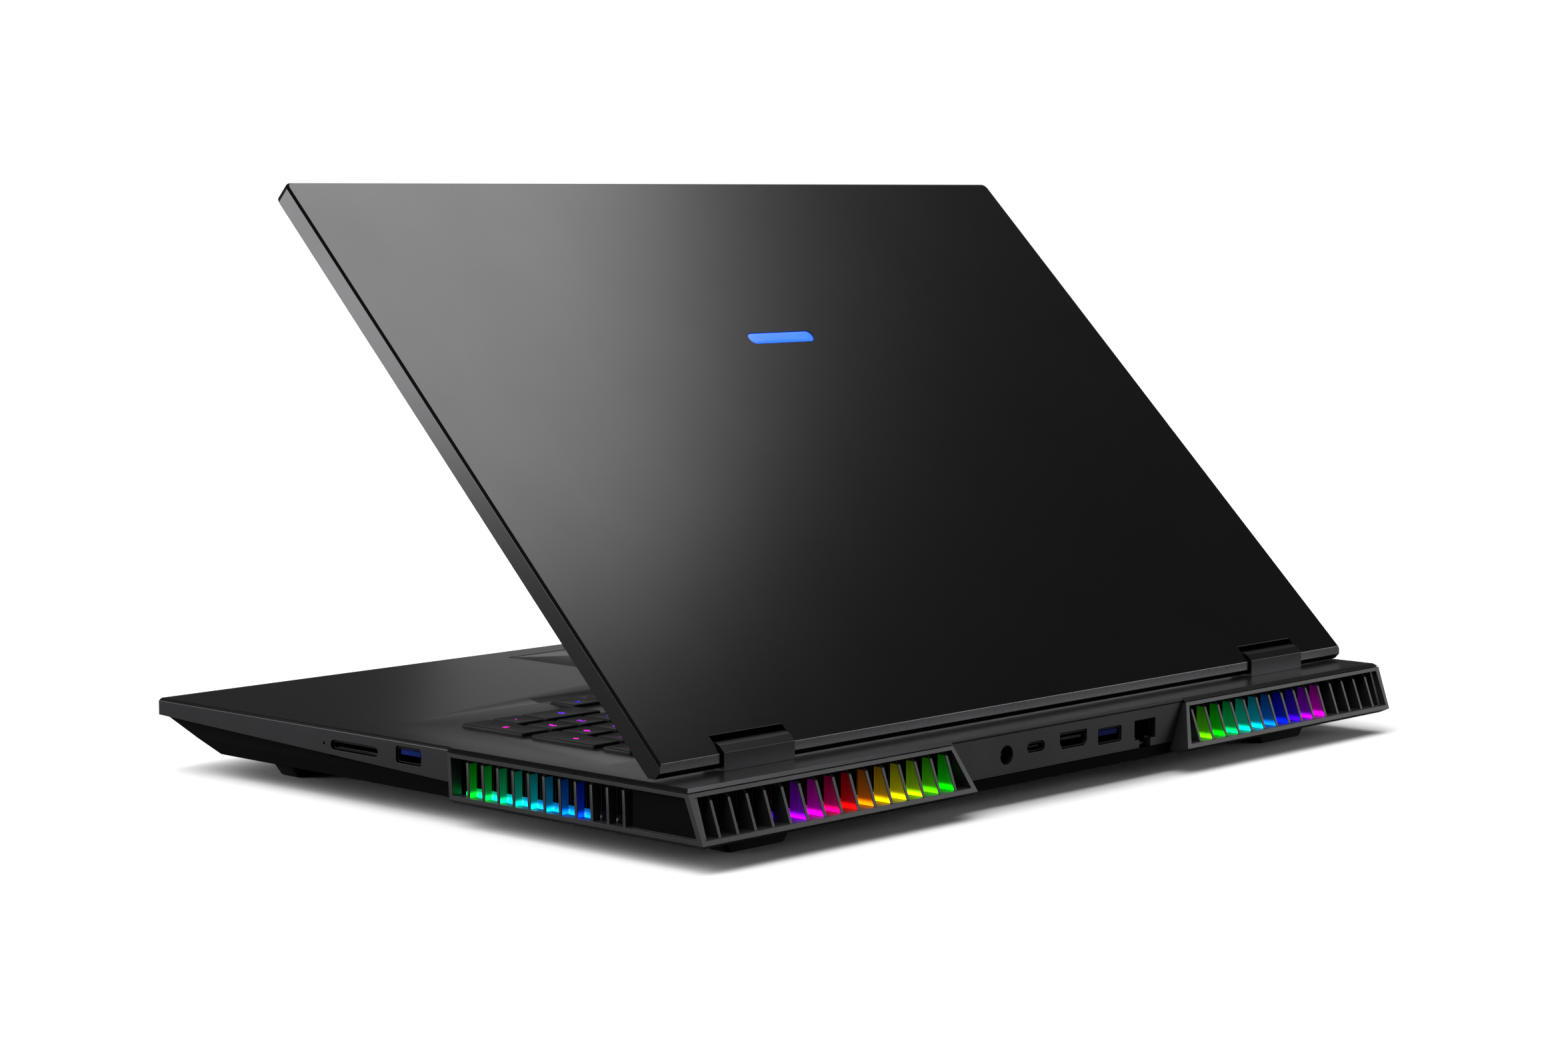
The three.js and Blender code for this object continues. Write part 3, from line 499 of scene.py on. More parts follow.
def make_mesh(name: str, shell: Shell) -> bpy.types.Mesh:
    """Writes a surface into a Blender mesh, in metres, with its glow as a colour attribute."""
    mesh = bpy.data.meshes.new(name)
    mesh.vertices.add(len(shell.points))
    mesh.vertices.foreach_set("co", (shell.points * MM).astype(np.float32).ravel())
    corners = np.concatenate([f.ravel() for f in shell.faces]).astype(np.int32)
    sizes = np.concatenate([np.full(len(f), f.shape[1]) for f in shell.faces])
    starts = np.concatenate([[0], np.cumsum(sizes)[:-1]]).astype(np.int32)
    mesh.loops.add(len(corners))
    mesh.loops.foreach_set("vertex_index", corners)
    mesh.polygons.add(len(starts))
    mesh.polygons.foreach_set("loop_start", starts)
    mesh.update(calc_edges=True)
    if shell.glow is not None:
        painted = mesh.color_attributes.new("glow", "FLOAT_COLOR", "POINT")
        painted.data.foreach_set("color", shell.glow.astype(np.float32).ravel())
    return mesh


def smooth(mesh: bpy.types.Mesh, angle: float = 32.0) -> None:
    """Shades a mesh smooth, but for edges sharper than the angle in degrees."""
    mesh.shade_smooth()
    mesh.set_sharp_from_angle(angle=math.radians(angle))


class Slot(Enum):
    """The record's material slots."""

    ALLOY = "dark_alloy"
    TUB = "tub_plastic"
    GRILLE = "grille_plastic"
    BEZEL = "bezel_plastic"
    SCREEN = "screen"
    KEYCAP = "keycap_plastic"
    TOUCH = "touch_surface"
    STEEL = "steel"
    INSERT = "usb_insert"
    COPPER = "copper"
    BOARD = "circuit_board"
    PLASTIC = "black_plastic"
    RUBBER = "rubber"
    LIGHT = "light_guide"


class Assembly:
    """What every sub-assembly shares: putting a piece in place on its body, dressing it and reporting it."""

    def place(
        self,
        name: str,
        mesh: bpy.types.Mesh,
        look: Look,
        slot: Slot,
        body: str,
        stands_for: Sequence[str] = (),
    ) -> bpy.types.Object:
        """Adds a finished piece.

        Args:
            name: the piece's name.
            mesh: its mesh, in place.
            look: its finish.
            slot: the record's slot for that finish; not used.
            body: the CAD body that it rides on.
            stands_for: CAD nodes that it replaces.

        Returns:
            The piece.
        """
        mesh.materials.clear()
        mesh.materials.append(look.material())
        piece = in_scene(name, mesh)
        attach(piece, body)
        if stands_for:
            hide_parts(*stands_for)
        log.info("%s on %s, %d faces", name, body, len(mesh.polygons))
        return piece

    def shell(
        self, name: str, shell: Shell, look: Look, slot: Slot, body: str, stands_for: Sequence[str] = ()
    ) -> bpy.types.Object:
        """Adds a piece from arrays, shaded smooth but for its sharp edges."""
        mesh = make_mesh(name, shell)
        smooth(mesh)
        return self.place(name, mesh, look, slot, body, stands_for)

    def softened(self, node: str, width: float, look: Look, slot: Slot) -> bpy.types.Object:
        """Adds a copy of a CAD node with its edges broken by two facets, standing for the node.

        Args:
            node: the CAD node.
            width: the width of the broken edge, in millimetres.
            look: its finish.
            slot: the record's slot for that finish.

        Returns:
            The piece.
        """
        source = frame["nodes"][node]
        work = bmesh.new()
        work.from_mesh(source.data)
        bmesh.ops.remove_doubles(work, verts=work.verts, dist=1e-6)
        bmesh.ops.dissolve_limit(work, angle_limit=math.radians(0.6), verts=work.verts, edges=work.edges)
        mesh = bpy.data.meshes.new(node + "_skin")
        work.to_mesh(mesh)
        work.free()
        smooth(mesh, 25)
        piece = self.place(node + "_skin", mesh, look, slot, source["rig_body"], [node])
        bevel = piece.modifiers.new("broken edges", "BEVEL")
        bevel.width = width * MM
        bevel.segments = 2
        bevel.limit_method = "ANGLE"
        bevel.angle_limit = math.radians(28)
        bevel.use_clamp_overlap = False
        bevel.harden_normals = True
        return piece

    def dress(self, look: Look, *nodes: str) -> None:
        """Gives CAD nodes that stay as they are a finish."""
        for node in nodes:
            for slot in frame["nodes"][node].material_slots:
                slot.material = look.material()
            log.info("%s dressed as %s", node, look.value.name)


def box_of(node: str) -> tuple[Array, Array]:
    """A CAD node's lowest and highest corners, in millimetres."""
    low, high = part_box(node)
    return np.array(low) / MM, np.array(high) / MM


HANDS = (("right", 1), ("left", -1))  # each side's name and the sign of its x


def both_hands(stem: str) -> tuple[str, str]:
    """The names of a right-hand node and its left-hand twin."""
    return stem + "_right", stem + "_left"


# ---- Lid ----
@dataclass
class Lid(Assembly):
    """The lid: back cover, emblem, bezel, screen, camera, bumper and the hinge arms that carry it.

    In the closed lid's own frame the hinge axis is x, the free edge lies along -y and the back faces +z.
    """

    edge_break: float = 0.16
    glass_edge: float = 0.6
    lens_radius: float = 1.0
    lens_bulge: float = 0.35
    lens_inset: float = 3.6  # from the board's front edge to the lens's middle
    emblem_light: str = "1f5bff"

    def __post_init__(self) -> None:
        """Reads the hinge from the frame, and turns the closed lid's frame to where it rests."""
        hinge = next(j for j in frame["joints"] if j["name"] == "lid_hinge")
        opened = math.radians(hinge["range_deg"][0])
        self.turn = Matrix.Translation(Vector(hinge["pos_m"]) / MM) @ Matrix.Rotation(opened, 4, "X")

    def own_box(self, node: str) -> tuple[Array, Array]:
        """A lid node's corners in the closed lid's own frame."""
        mesh = frame["nodes"][node].data
        points = np.empty(3 * len(mesh.vertices), np.float32)
        mesh.vertices.foreach_get("co", points)
        back = np.array(self.turn.inverted())
        own = points.reshape(-1, 3) / MM @ back[:3, :3].T + back[:3, 3]
        return own.min(0), own.max(0)

    def pad(
        self, node: str, radius: float, levels: Sequence[tuple[float, float, float]], steps: int
    ) -> Shell:
        """A block over a node's rectangle, its level heights counted from the node's middle height."""
        low, high = self.own_box(node)
        middle = (low[2] + high[2]) / 2
        raised = [(share, inset, middle + height) for share, inset, height in levels]
        return pads([*low[:2], *high[:2]], radius, raised, steps)

    def build(self) -> None:
        """Makes the lid's pieces."""
        # The hinge-end facet gets a paler colour as a painted highlight.
        self.cut_facet(self.softened("lid_back_cover", self.edge_break, Look.LID_ALLOY, Slot.ALLOY))
        self.softened("screen_bezel", 0.2, Look.BEZEL_ABS, Slot.BEZEL)
        self.panel()
        self.emblem()
        self.camera()
        self.bumper()
        self.dress(Look.STEEL, *both_hands("hinge_arm"))

    def cut_facet(self, cover: bpy.types.Object) -> None:
        """Gives the facet between the lid's back and its hinge end its own paler finish, a painted highlight,
        picked out by its direction.
        """
        mesh = cover.data
        mesh.materials.append(Look.CUT_FACET.material())
        facing = np.empty(3 * len(mesh.polygons), np.float32)
        mesh.polygons.foreach_get("normal", facing)
        own = facing.reshape(-1, 3) @ np.array(self.turn)[:3, :3]
        facet = (np.abs(own - (0, math.sqrt(0.5), math.sqrt(0.5))) < 0.02).all(axis=1)
        mesh.polygons.foreach_set("material_index", facet.astype(np.int32))

    def panel(self) -> None:
        """The display: a thin block with its long edges turned by an ellipse."""
        low, high = self.own_box("lcd_panel")
        half = (high[2] - low[2]) / 2
        turn = np.radians(np.linspace(-90, 90, 9))
        levels = [(1.0, self.glass_edge * (1 - math.cos(a)), half * math.sin(a)) for a in turn]
        shape = self.pad("lcd_panel", 2.0, levels, 6).turned(self.turn)
        self.shell("display_panel", shape, Look.SCREEN_GLASS, Slot.SCREEN, "lid", ["lcd_panel"])

    def emblem(self) -> None:
        """The plain lit bar: an oblong whose height falls with the square of the way out to its rim."""
        low, high = self.own_box("lid_light_bar")
        half = (high[2] - low[2]) / 2
        sides = [(1.0, 0.0, -half), (1.0, 0.0, half - 0.25)]
        crown = [(share, 0.12, half - 0.02 - 0.2 * share**4) for share in np.linspace(0.98, 0.1, 8)]
        shape = self.pad("lid_light_bar", 2.4, [*sides, *crown], 10).turned(self.turn)
        lit = Shell(shape.points, shape.faces, np.tile(linear(self.emblem_light), (len(shape.points), 1)))
        self.shell("lid_emblem_bar", lit, Look.LIT_EMBLEM, Slot.LIGHT, "lid", ["lid_light_bar"])

    def camera(self) -> None:
        """The webcam's board, and its lens: a barrel whose end bulges as a quarter turn of an ellipse."""
        low, high = self.own_box("webcam")
        board = pads([*low[:2], *high[:2]], 1.0, [(1, 0, high[2] - 1.2), (1, 0, high[2])])
        centre = [(low[0] + high[0]) / 2, low[1] + self.lens_inset, 0]
        turn = np.radians(np.linspace(0, 90, 9))
        radius, bulge = self.lens_radius, self.lens_bulge
        cap = [(radius * math.sin(a), low[2] + bulge * (1 - math.cos(a))) for a in turn[1:]]
        lens = lathed(centre, [*cap, (radius, high[2] - 1.0)])
        shape = joined([board, lens]).turned(self.turn)
        self.shell("webcam_lens_and_board", shape, Look.SCREEN_GLASS, Slot.PLASTIC, "lid", ["webcam"])

    def bumper(self) -> None:
        """The rubber strip that the closed lid rests on: a bar with a half-round crown."""
        low, high = self.own_box("lid_bumper")
        half = (high[2] - low[2]) / 2
        turn = np.radians(np.linspace(-80, 0, 6))
        crown = [(1.0, 0.6 * (1 - math.cos(a)), half * math.sin(a)) for a in turn]
        shape = self.pad("lid_bumper", 0.7, [*crown, (1.0, 0, half)], 6).turned(self.turn)
        self.shell("lid_rest_strip", shape, Look.RUBBER, Slot.RUBBER, "lid", ["lid_bumper"])


# ---- Keyboard ----
class KeyRow(Enum):
    """The key sets, with the marks on their caps in order of place: an underscore leaves a cap blank."""

    BOTTOM = ("key_row_bottom", "_ / = - _ - /")
    LOWER = ("key_row_lower", "_ Z X C V B N M , . / _")
    HOME = ("key_row_home", "_ A S D F G H J K L ; ' _")
    UPPER = ("key_row_upper", "_ Q W E R T Y U I O P [ ] -")
    NUMBER = ("key_row_number", "- 1 2 3 4 5 6 7 8 9 0 - = _")
    FUNCTION = ("key_row_function", "x 1 2 3 4 5 6 7 8 9 . : - +")
    ARROWS = ("arrow_keys", "< v > ^")
    NUMPAD = ("numpad_keys", "0 1 4 7 # < 2 5 8 / > . 3 6 9 * - = + - x")


@dataclass
class Keyboard(Assembly):
    """Keycaps in rows that press together, their lit legends and the rubber domes below them."""

    skirt: float = 2.4  # how far the caps reach below their tops
    chamfer: float = 0.45
    corner: float = 0.9
    dish: float = 0.28
    legend_height: float = 3.3
    legend_lift: float = 0.05
    dome_drop: float = 0.6  # from the foot of the skirt to the domes' shoulder
    hue_places: tuple[float, ...] = (-160, 60, 98, 128, 158)  # the legends' hues go from blue to pink along x
    hues: tuple[float, ...] = (200, 236, 254, 300, 328)

    def rectangles(self, node: str) -> tuple[Array, float]:
        """Finds the keys of a set from its CAD solid.

        A key's flat top is two triangles that share one bounding rectangle.

        Args:
            node: the CAD node.

        Returns:
            Rows of x0, y0, x1, y1, and the height of the tops.
        """
        mesh = frame["nodes"][node].data
        points = np.empty(3 * len(mesh.vertices), np.float32)
        mesh.vertices.foreach_get("co", points)
        mesh.calc_loop_triangles()
        corners = np.empty(3 * len(mesh.loop_triangles), np.int32)
        mesh.loop_triangles.foreach_get("vertices", corners)
        triangles = points.reshape(-1, 3)[corners.reshape(-1, 3)] / MM
        top = triangles[..., 2].max()
        flat = triangles[(triangles[..., 2] > top - 0.01).all(axis=1)]
        boxes = np.concatenate([flat.min(axis=1)[:, :2], flat.max(axis=1)[:, :2]], axis=1)
        return np.unique(boxes.round(2), axis=0), float(top)

    def caps(self, boxes: Array, top: float) -> Shell:
        """Keycaps: straight skirts, a broken edge, and a dish that deepens with the square of the way in."""
        skirt = [(1, 0.25, top - self.skirt), (1, 0, top - self.skirt + 0.4), (1, 0, top - self.chamfer)]
        edge = [(1, 0.5 * self.chamfer, top - 0.3 * self.chamfer), (1, self.chamfer, top)]
        shares = (0.94, 0.8, 0.6, 0.35, 0.1)
        bowl = [(share, self.chamfer, top - self.dish * (1 - share**2)) for share in shares]
        return pads(boxes, self.corner, [*skirt, *edge, *bowl])

    def legends(self, boxes: Array, marks: Sequence[str], top: float, colour: Array) -> Shell:
        """The lit marks: plain characters of the standard layout, cut as thin solids into the caps.

        Args:
            boxes: the keys' rectangles.
            marks: one character for each key, "_" where there is none.
            top: height of the key tops.
            colour: linear colour for each key.

        Returns:
            One surface with every mark of the set.
        """
        shells = []
        for box, mark, tint in zip(boxes, marks, colour):
            if mark == "_":
                continue
            curve = bpy.data.curves.new("mark", "FONT")
            curve.body = mark
            curve.size = self.legend_height * 1.4
            curve.extrude = 0.06
            curve.resolution_u = 2
            curve.align_x = "CENTER"
            curve.align_y = "CENTER"
            holder = in_scene("mark", curve)
            mesh = bpy.data.meshes.new_from_object(holder)
            work = bmesh.new()
            work.from_mesh(mesh)
            bmesh.ops.remove_doubles(work, verts=work.verts, dist=1e-5)
            bmesh.ops.triangulate(work, faces=work.faces)
            bmesh.ops.recalc_face_normals(work, faces=work.faces)
            points = np.array([v.co for v in work.verts])
            faces = np.array([[v.index for v in f.verts] for f in work.faces])
            work.free()
            bpy.data.objects.remove(holder)
            bpy.data.curves.remove(curve)
            bpy.data.meshes.remove(mesh)
            centre = [(box[0] + box[2]) / 2, (box[1] + box[3]) / 2, top - self.dish + self.legend_lift]
            glow = np.tile([*tint, 1.0], (len(points), 1))
            shells.append(Shell(points + centre, (faces,), glow))
        return joined(shells)

    def build(self) -> None:
        """Makes the caps, legends and domes of each set, and dresses the plate under them."""
        for row in KeyRow:
            node, marks = row.value
            boxes, top = self.rectangles(node)
            self.shell(node + "_caps", self.caps(boxes, top), Look.KEYCAP_ABS, Slot.KEYCAP, node, [node])
            colour = hue_colour(np.interp(boxes[:, 0], self.hue_places, self.hues))
            drawn = self.legends(boxes, marks.split(), top, colour)
            self.shell(node + "_legends", drawn, Look.LIT_LEGEND, Slot.LIGHT, node)
            middle = (boxes[:, :2] + boxes[:, 2:]) / 2
            feet = np.column_stack([middle, np.full(len(middle), top - self.skirt - self.dome_drop)])
            dome = [(2.6, -0.8), (2.5, -0.65), (2.0, -0.1), (1.2, 0.1), (0.6, 0.15)]
            self.shell(node + "_domes", lathed(feet, dome, 10), Look.RUBBER, Slot.RUBBER, node)
        self.dress(Look.STEEL, "keyboard_plate")


# ---- Deck ----
@dataclass
class Deck(Assembly):
    """The top case, with the touchpad and power button in it and the small holes at its rear corner."""

    hole_radius: float = 0.32
    pad_corner: float = 2.2
    button_corner: float = 1.5
    button_dish: float = 0.35

    def build(self) -> None:
        """Makes the deck's pieces."""
        self.softened("top_case", 0.14, Look.DECK_ALLOY, Slot.ALLOY)
        low, high = box_of("touchpad")
        sides = [(1, 0, low[2]), (1, 0, high[2] - 0.3)]
        face = [(1, 0.12, high[2] - 0.08), (1, 0.35, high[2]), (0.5, 0.35, high[2])]
        plate = pads([*low[:2], *high[:2]], self.pad_corner, [*sides, *face], 6)
        self.shell("touchpad_plate", plate, Look.PAD_FILM, Slot.TOUCH, "touchpad", ["touchpad"])
        low, high = box_of("power_button")
        rim = [(1, 0, low[2]), (1, 0, high[2] - 0.3), (1, 0.15, high[2] - 0.06), (1, 0.4, high[2])]
        bowl = [(share, 0.4, high[2] - self.button_dish * (1 - share**2)) for share in (0.9, 0.7, 0.45, 0.15)]
        button = pads([*low[:2], *high[:2]], self.button_corner, [*rim, *bowl], 6)
        self.shell("power_button_cap", button, Look.KEYCAP_ABS, Slot.KEYCAP, "power_button", ["power_button"])
        self.holes()

    def holes(self) -> None:
        """The cluster of small drilled holes at each rear corner, as shallow cups in the deck whose black is
        painted shade for the holes' depth.
        """
        _, high = box_of("top_case")
        right_x = [179.7, 177.1, 180.8, 179.1, 181.0, 175.3, 176.9]
        y = [89.4, 89.9, 91.7, 94.0, 96.9, 91.8, 94.6]
        centres = np.column_stack([right_x, y, np.full(len(y), high[2])])
        radius = self.hole_radius
        cup = [(radius, -0.3), (radius, 0.015), (0.6 * radius, -0.01), (0.05, -0.03)]
        right = lathed(centres, cup, 12)
        both = joined([right, right.mirrored()])
        # The black nylon finish on these cups is painted shade: the dark of the holes' depth.
        self.shell("deck_perforations", both, Look.BLACK_NYLON, Slot.PLASTIC, "base")


# ---- Bottom ----
@dataclass
class Tub(Assembly):
    """The bottom case with its rubber feet and screws."""

    screw_radius: float = 2.4
    foot_taper: float = 4.0  # how far each end of a foot leans in on its way down
    tread_rim: float = 0.8

    def build(self) -> None:
        """Makes the tub's pieces."""
        self.softened("bottom_case", 0.25, Look.TUB_ABS, Slot.TUB)
        for stem in ("foot_rear", "foot_front"):
            for node in both_hands(stem):
                self.foot(node)
        self.screws()

    def foot(self, node: str) -> None:
        """A rubber bar whose ends lean in towards its tread, and whose tread has a quarter-round rim."""
        low, high = box_of(node)
        tall = high[2] - low[2]
        turn = np.radians(np.linspace(0, 90, 5))
        inset = np.append(self.tread_rim * (1 - np.sin(turn)), 0.0)
        height = np.append(self.tread_rim * (1 - np.cos(turn)), tall)
        levels = np.column_stack([np.ones(len(height)), inset, low[2] + height])
        shape = pads([*low[:2], *high[:2]], 2.0, levels, 6)
        lean = self.foot_taper * (high[2] - shape.points[:, 2]) / tall
        inwards = -np.sign(shape.points[:, 0] - (low[0] + high[0]) / 2)
        points = shape.points + (inwards * lean)[:, None] * (1, 0, 0)
        self.shell(node + "_pad", Shell(points, shape.faces), Look.RUBBER, Slot.RUBBER, "base", [node])

    def screws(self) -> None:
        """Countersunk screws round the underside: a low cone with a round socket."""
        low, _ = box_of("bottom_case")
        right = [(160, -88), (160, 20), (160, 100), (60, -95), (60, 112)]
        spots = np.array([(side * x, y, low[2]) for side in (1, -1) for x, y in right], float)
        socket = [(0.5, 0.55), (1.1, 0.5), (1.2, -0.3)]
        rim = [(2.0, -0.32), (self.screw_radius, -0.1), (self.screw_radius, 0.6)]
        shape = lathed(spots, [*socket, *rim][::-1], 18)
        flipped = Shell(shape.points, tuple(f[:, ::-1] for f in shape.faces))
        self.shell("case_screws", flipped, Look.BLACKED_SCREW, Slot.STEEL, "base")


# ---- Vents ----
@dataclass(frozen=True)
class SlatRun:
    """A run of upright slats, evenly spaced.

    Attributes:
        first: place of the first slat's middle.
        pitch: from one slat to the next.
        thick: a slat's thickness.
    """

    first: float
    pitch: float
    thick: float = 1.3

    def faces(self, chosen: Array, side: int) -> Array:
        """Where the chosen slats' faces are, on the side towards which the run counts up (1) or down (-1)."""
        return self.first + self.pitch * chosen + side * self.thick / 2


@dataclass
class Vents(Assembly):
    """The rear corner grilles, the light guides at their foot, the painted light on their slats and the fins.
    """

    side_run: SlatRun = SlatRun(31.6, 7.71)
    rear_run: SlatRun = SlatRun(71.1, 8.31)
    side_lit: int = 8  # lit slats of the side vent, counted from its front end
    rear_lit: int = 10  # lit slats of the rear vent, counted from its inner end
    side_span: tuple[float, float] = (26.0, 108.0)  # the side guide's ends along y
    rear_span: tuple[float, float] = (66.8, 186.0)  # the rear guide's ends along x
    side_wall: tuple[float, float] = (189.4, 191.9)  # back and front of the side guide
    rear_wall: tuple[float, float] = (133.2, 135.7)  # back and front of the rear guide
    side_dark: float = 91.0  # the side guide is unlit past this
    guide_top: float = 13.2
    guide_round: float = 1.6  # radius of a guide's upper front edge
    guide_ramp: float = 3.0  # length over which a guide's light fades at its dark end
    guide_depth: float = 2.2  # height over which a guide's light weakens
    guide_shift: float = 30.0  # how far the side guide's hue leans to cyan from the slats' hue
    # The painted slat light: glowing sheets that stand for the guides' light falling on the slats, set a
    # small gap off each slat's face.
    film: float = 0.05
    glow_sheet_span: tuple[float, float] = (11.2, 23.0)  # foot and top of the sheets
    glow_sheet_back: tuple[float, float] = (192.7, 136.7)  # back edges of the side and rear sheets
    glow_sheet_strength: float = 1.0  # strength of the sheets at their foot
    glow_sheet_foot: float = 0.12  # share of their height that is bright
    glow_sheet_tail: float = 0.06

    def build(self) -> None:
        """Makes the grilles, guides, sheets of painted slat light and fins on both sides."""
        for node in both_hands("vent_grille"):
            self.softened(node, 0.1, Look.GRILLE_LACQUER, Slot.GRILLE)
        for hand, sign in HANDS:
            self.guides(hand, sign)
            self.draw_slat_glow(hand, sign)
            self.blank(hand, sign)
            self.fins(hand, sign)

    def side_hue(self, y: Array, sign: int) -> Array:
        """Hue along the side vent: green to blue on the right, and magenta to orange on the left."""
        return np.interp(y, [30, 92], [118, 238] if sign > 0 else [300, 395])

    def rear_hue(self, x: Array, sign: int) -> Array:
        """Hue along the rear vent, from its inner end outwards."""
        if sign > 0:
            return np.interp(x, [72, 96, 112, 122, 150], [480, 420, 396, 360, 268])
        return np.interp(x, [79, 96, 113, 129, 138, 146, 154], [96, 150, 190, 236, 256, 284, 304])

    def bar(self, along: Array, across: Array, tall: Array, hue: Array, power: Array, upright: bool) -> Shell:
        """A light guide: a rounded section carried along a straight line.

        Args:
            along: places of the sections.
            across: the section's points across the bar.
            tall: the section's heights, round the section with across.
            hue: hue of each section.
            power: strength of each section.
            upright: True where the bar runs along y, False where it runs along x.

        Returns:
            The bar, brightest at its foot.
        """
        run = 1 if upright else 0
        rings = np.empty((len(along), len(across), 3))
        rings[..., run] = along[:, None]
        rings[..., 1 - run] = across[None]
        rings[..., 2] = tall[None]
        shape = stacked(rings[None])
        share = np.clip((self.guide_top - shape.points[:, 2]) / self.guide_depth, 0.12, 1)
        place = shape.points[:, run]
        tint = hue_colour(np.interp(place, along, hue))
        glow = np.column_stack([tint, np.interp(place, along, power) * share])
        return Shell(shape.points, shape.faces, glow)

    def section(self, wall: tuple[float, float], foot: float) -> tuple[Array, Array]:
        """A guide's section: an oblong from its foot up, whose upper front edge is a quarter circle."""
        turn = np.radians(np.linspace(0, 90, 6))
        back, front = wall
        bend = self.guide_round
        across = np.concatenate([[back, front], front - bend + bend * np.cos(turn), [back]])
        tall = np.concatenate([[foot, foot], self.guide_top - bend + bend * np.sin(turn), [self.guide_top]])
        return across, tall

    def guides(self, hand: str, sign: int) -> None:
        """The two light guides of a corner, along its side and along its rear."""
        low, _ = box_of("light_strip_" + hand)
        across, tall = self.section(self.side_wall, low[2])
        y = np.linspace(*self.side_span, 60)
        lit = np.clip((self.side_dark - y) / self.guide_ramp, 0, 1)
        hue = self.side_hue(y, sign) + self.guide_shift * np.interp(y, [30, 60, 92], [1, 0.8, -1])
        side = self.bar(y, across[::-1], tall[::-1], hue, lit, True)
        across, tall = self.section(self.rear_wall, low[2])
        x = np.linspace(*self.rear_span, 80)
        rear_lit, rear_dark = (70, 157.0) if sign > 0 else (66, 154.0)
        lit = np.clip((rear_dark - x) / self.guide_ramp, 0, 1) * np.clip((x - rear_lit) / 2, 0, 1)
        rear = self.bar(x, across, tall, self.rear_hue(x, sign), lit, False)
        shapes = joined([side, rear]).on_side(sign)
        strip = ["light_strip_" + hand]
        self.shell("light_guide_" + hand, shapes, Look.LIGHT_GUIDE, Slot.LIGHT, "base", strip)

    def sheets(
        self, places: Array, side: int, depth: tuple[Array, Array], tall: Array, upright: bool, hue: Array
    ) -> Shell:
        """Thin sheets of painted light against the slats' faces, standing for the guides' light falling on
        them.

        A sheet is a grid over height and depth: its front edge follows the leaning slat, and its light is
        strongest at the foot, drops as the exponential of the height's cube, and then fades slowly.

        Args:
            places: where the slats' faces are along the run.
            side: the side of the face that the sheets lie on, 1 or -1.
            depth: back and front edge of the sheets at each height.
            tall: the heights.
            upright: True where the run goes along y, False where it goes along x.
            hue: hue of each sheet.

        Returns:
            One surface with every sheet.
        """
        thin = places[:, None] + side * self.film * np.array([0.4, 1.4, 1.4, 0.4])
        deep = np.stack([depth[0], depth[0], depth[1], depth[1]], -1)
        rings = np.empty((len(places), len(tall), 4, 3))
        rings[..., 1 if upright else 0] = thin[:, None]
        rings[..., 0 if upright else 1] = deep[None]
        rings[..., 2] = tall[None, :, None]
        if (side > 0) == upright:
            rings = rings[:, :, ::-1]
        shape = stacked(rings)
        up = (shape.points[:, 2] - tall[0]) / (tall[-1] - tall[0])
        fade = self.glow_sheet_strength * np.exp(-((up / self.glow_sheet_foot) ** 3)) + self.glow_sheet_tail * (1 - 0.72 * up)
        tint = np.repeat(hue_colour(hue), len(tall) * 4 + 2, axis=0)
        return Shell(shape.points, shape.faces, np.column_stack([tint, fade]))

    def draw_slat_glow(self, hand: str, sign: int) -> None:
        """Painted light: the light caught by the slats' faces in the lit stretch of each vent, drawn as
        glowing sheets.
        """
        foot, top = self.glow_sheet_span
        tall = foot + (top - foot) * np.linspace(0, 1, 17) ** 1.2
        lean = (tall - 9.5) / 16.4
        side_depth = (np.full(len(tall), self.glow_sheet_back[0]), 196.75 + 0.85 * lean - 1.25)
        rear_depth = (np.full(len(tall), self.glow_sheet_back[1]), 146 - 6.05 * lean - 1.25)
        shapes = []
        for run, lit, depth, upright, hue in (
            (self.side_run, self.side_lit, side_depth, True, self.side_hue),
            (self.rear_run, self.rear_lit, rear_depth, False, self.rear_hue),
        ):
            for side, chosen in ((1, np.arange(lit)), (-1, np.arange(lit) + 1)):
                places = run.faces(chosen, side)
                shapes.append(self.sheets(places, side, depth, tall, upright, hue(places, sign)))
        whole = joined(shapes).on_side(sign)
        # Painted light: glowing sheets for the guides' light on the slats.
        self.shell("slat_light_" + hand, whole, Look.SLAT_LIGHT, Slot.LIGHT, "base")

    def blank(self, hand: str, sign: int) -> None:
        """The black sheet on the closed rear part of the side vent, its rear edge leaning as the frame."""
        foot, head = 11.3, 24.3
        back, face = 195.22, 195.34
        tall = np.linspace(foot, head, 8)
        front = np.full(len(tall), 112.2)
        rear = 142.9 - (tall - foot) * 0.36
        rings = np.empty((1, len(tall), 4, 3))
        rings[0, :, :, 0] = [back, face, face, back]
        rings[0, :, :, 1] = np.stack([front, front, rear, rear], -1)
        rings[0, :, :, 2] = tall[:, None]
        sheet = stacked(rings).on_side(sign)
        self.shell("vent_blank_" + hand, sheet, Look.TUB_ABS, Slot.PLASTIC, "base")

    def fins(self, hand: str, sign: int) -> None:
        """The fin stacks: thin leaves of foil at an even pitch, filling the blocks that they stand for."""
        pitch, leaf, rib = 1.5, 0.25, 0.3
        edge = 0.02
        for stem, flat_axis in (("heatsink_side_", 1), ("heatsink_rear_", 0)):
            low, high = box_of(stem + hand)
            start = np.arange(low[flat_axis], high[flat_axis] - leaf, pitch)
            lows, highs = np.tile(low, (len(start), 1)), np.tile(high, (len(start), 1))
            lows[:, flat_axis], highs[:, flat_axis] = start, start + leaf
            rib_foot = np.array([low[2] + 0.2, high[2] - 0.2 - rib])
            rib_low = np.column_stack([np.tile(low[:2], (2, 1)), rib_foot])
            rib_high = np.column_stack([np.tile(high[:2], (2, 1)), rib_foot + rib])
            shape = joined([blocks(lows, highs, edge), blocks(rib_low, rib_high, edge)])
            name = stem.replace("heatsink", "fin_stack") + hand
            self.shell(name, shape, Look.FIN_FOIL, Slot.COPPER, "base", [stem + hand])


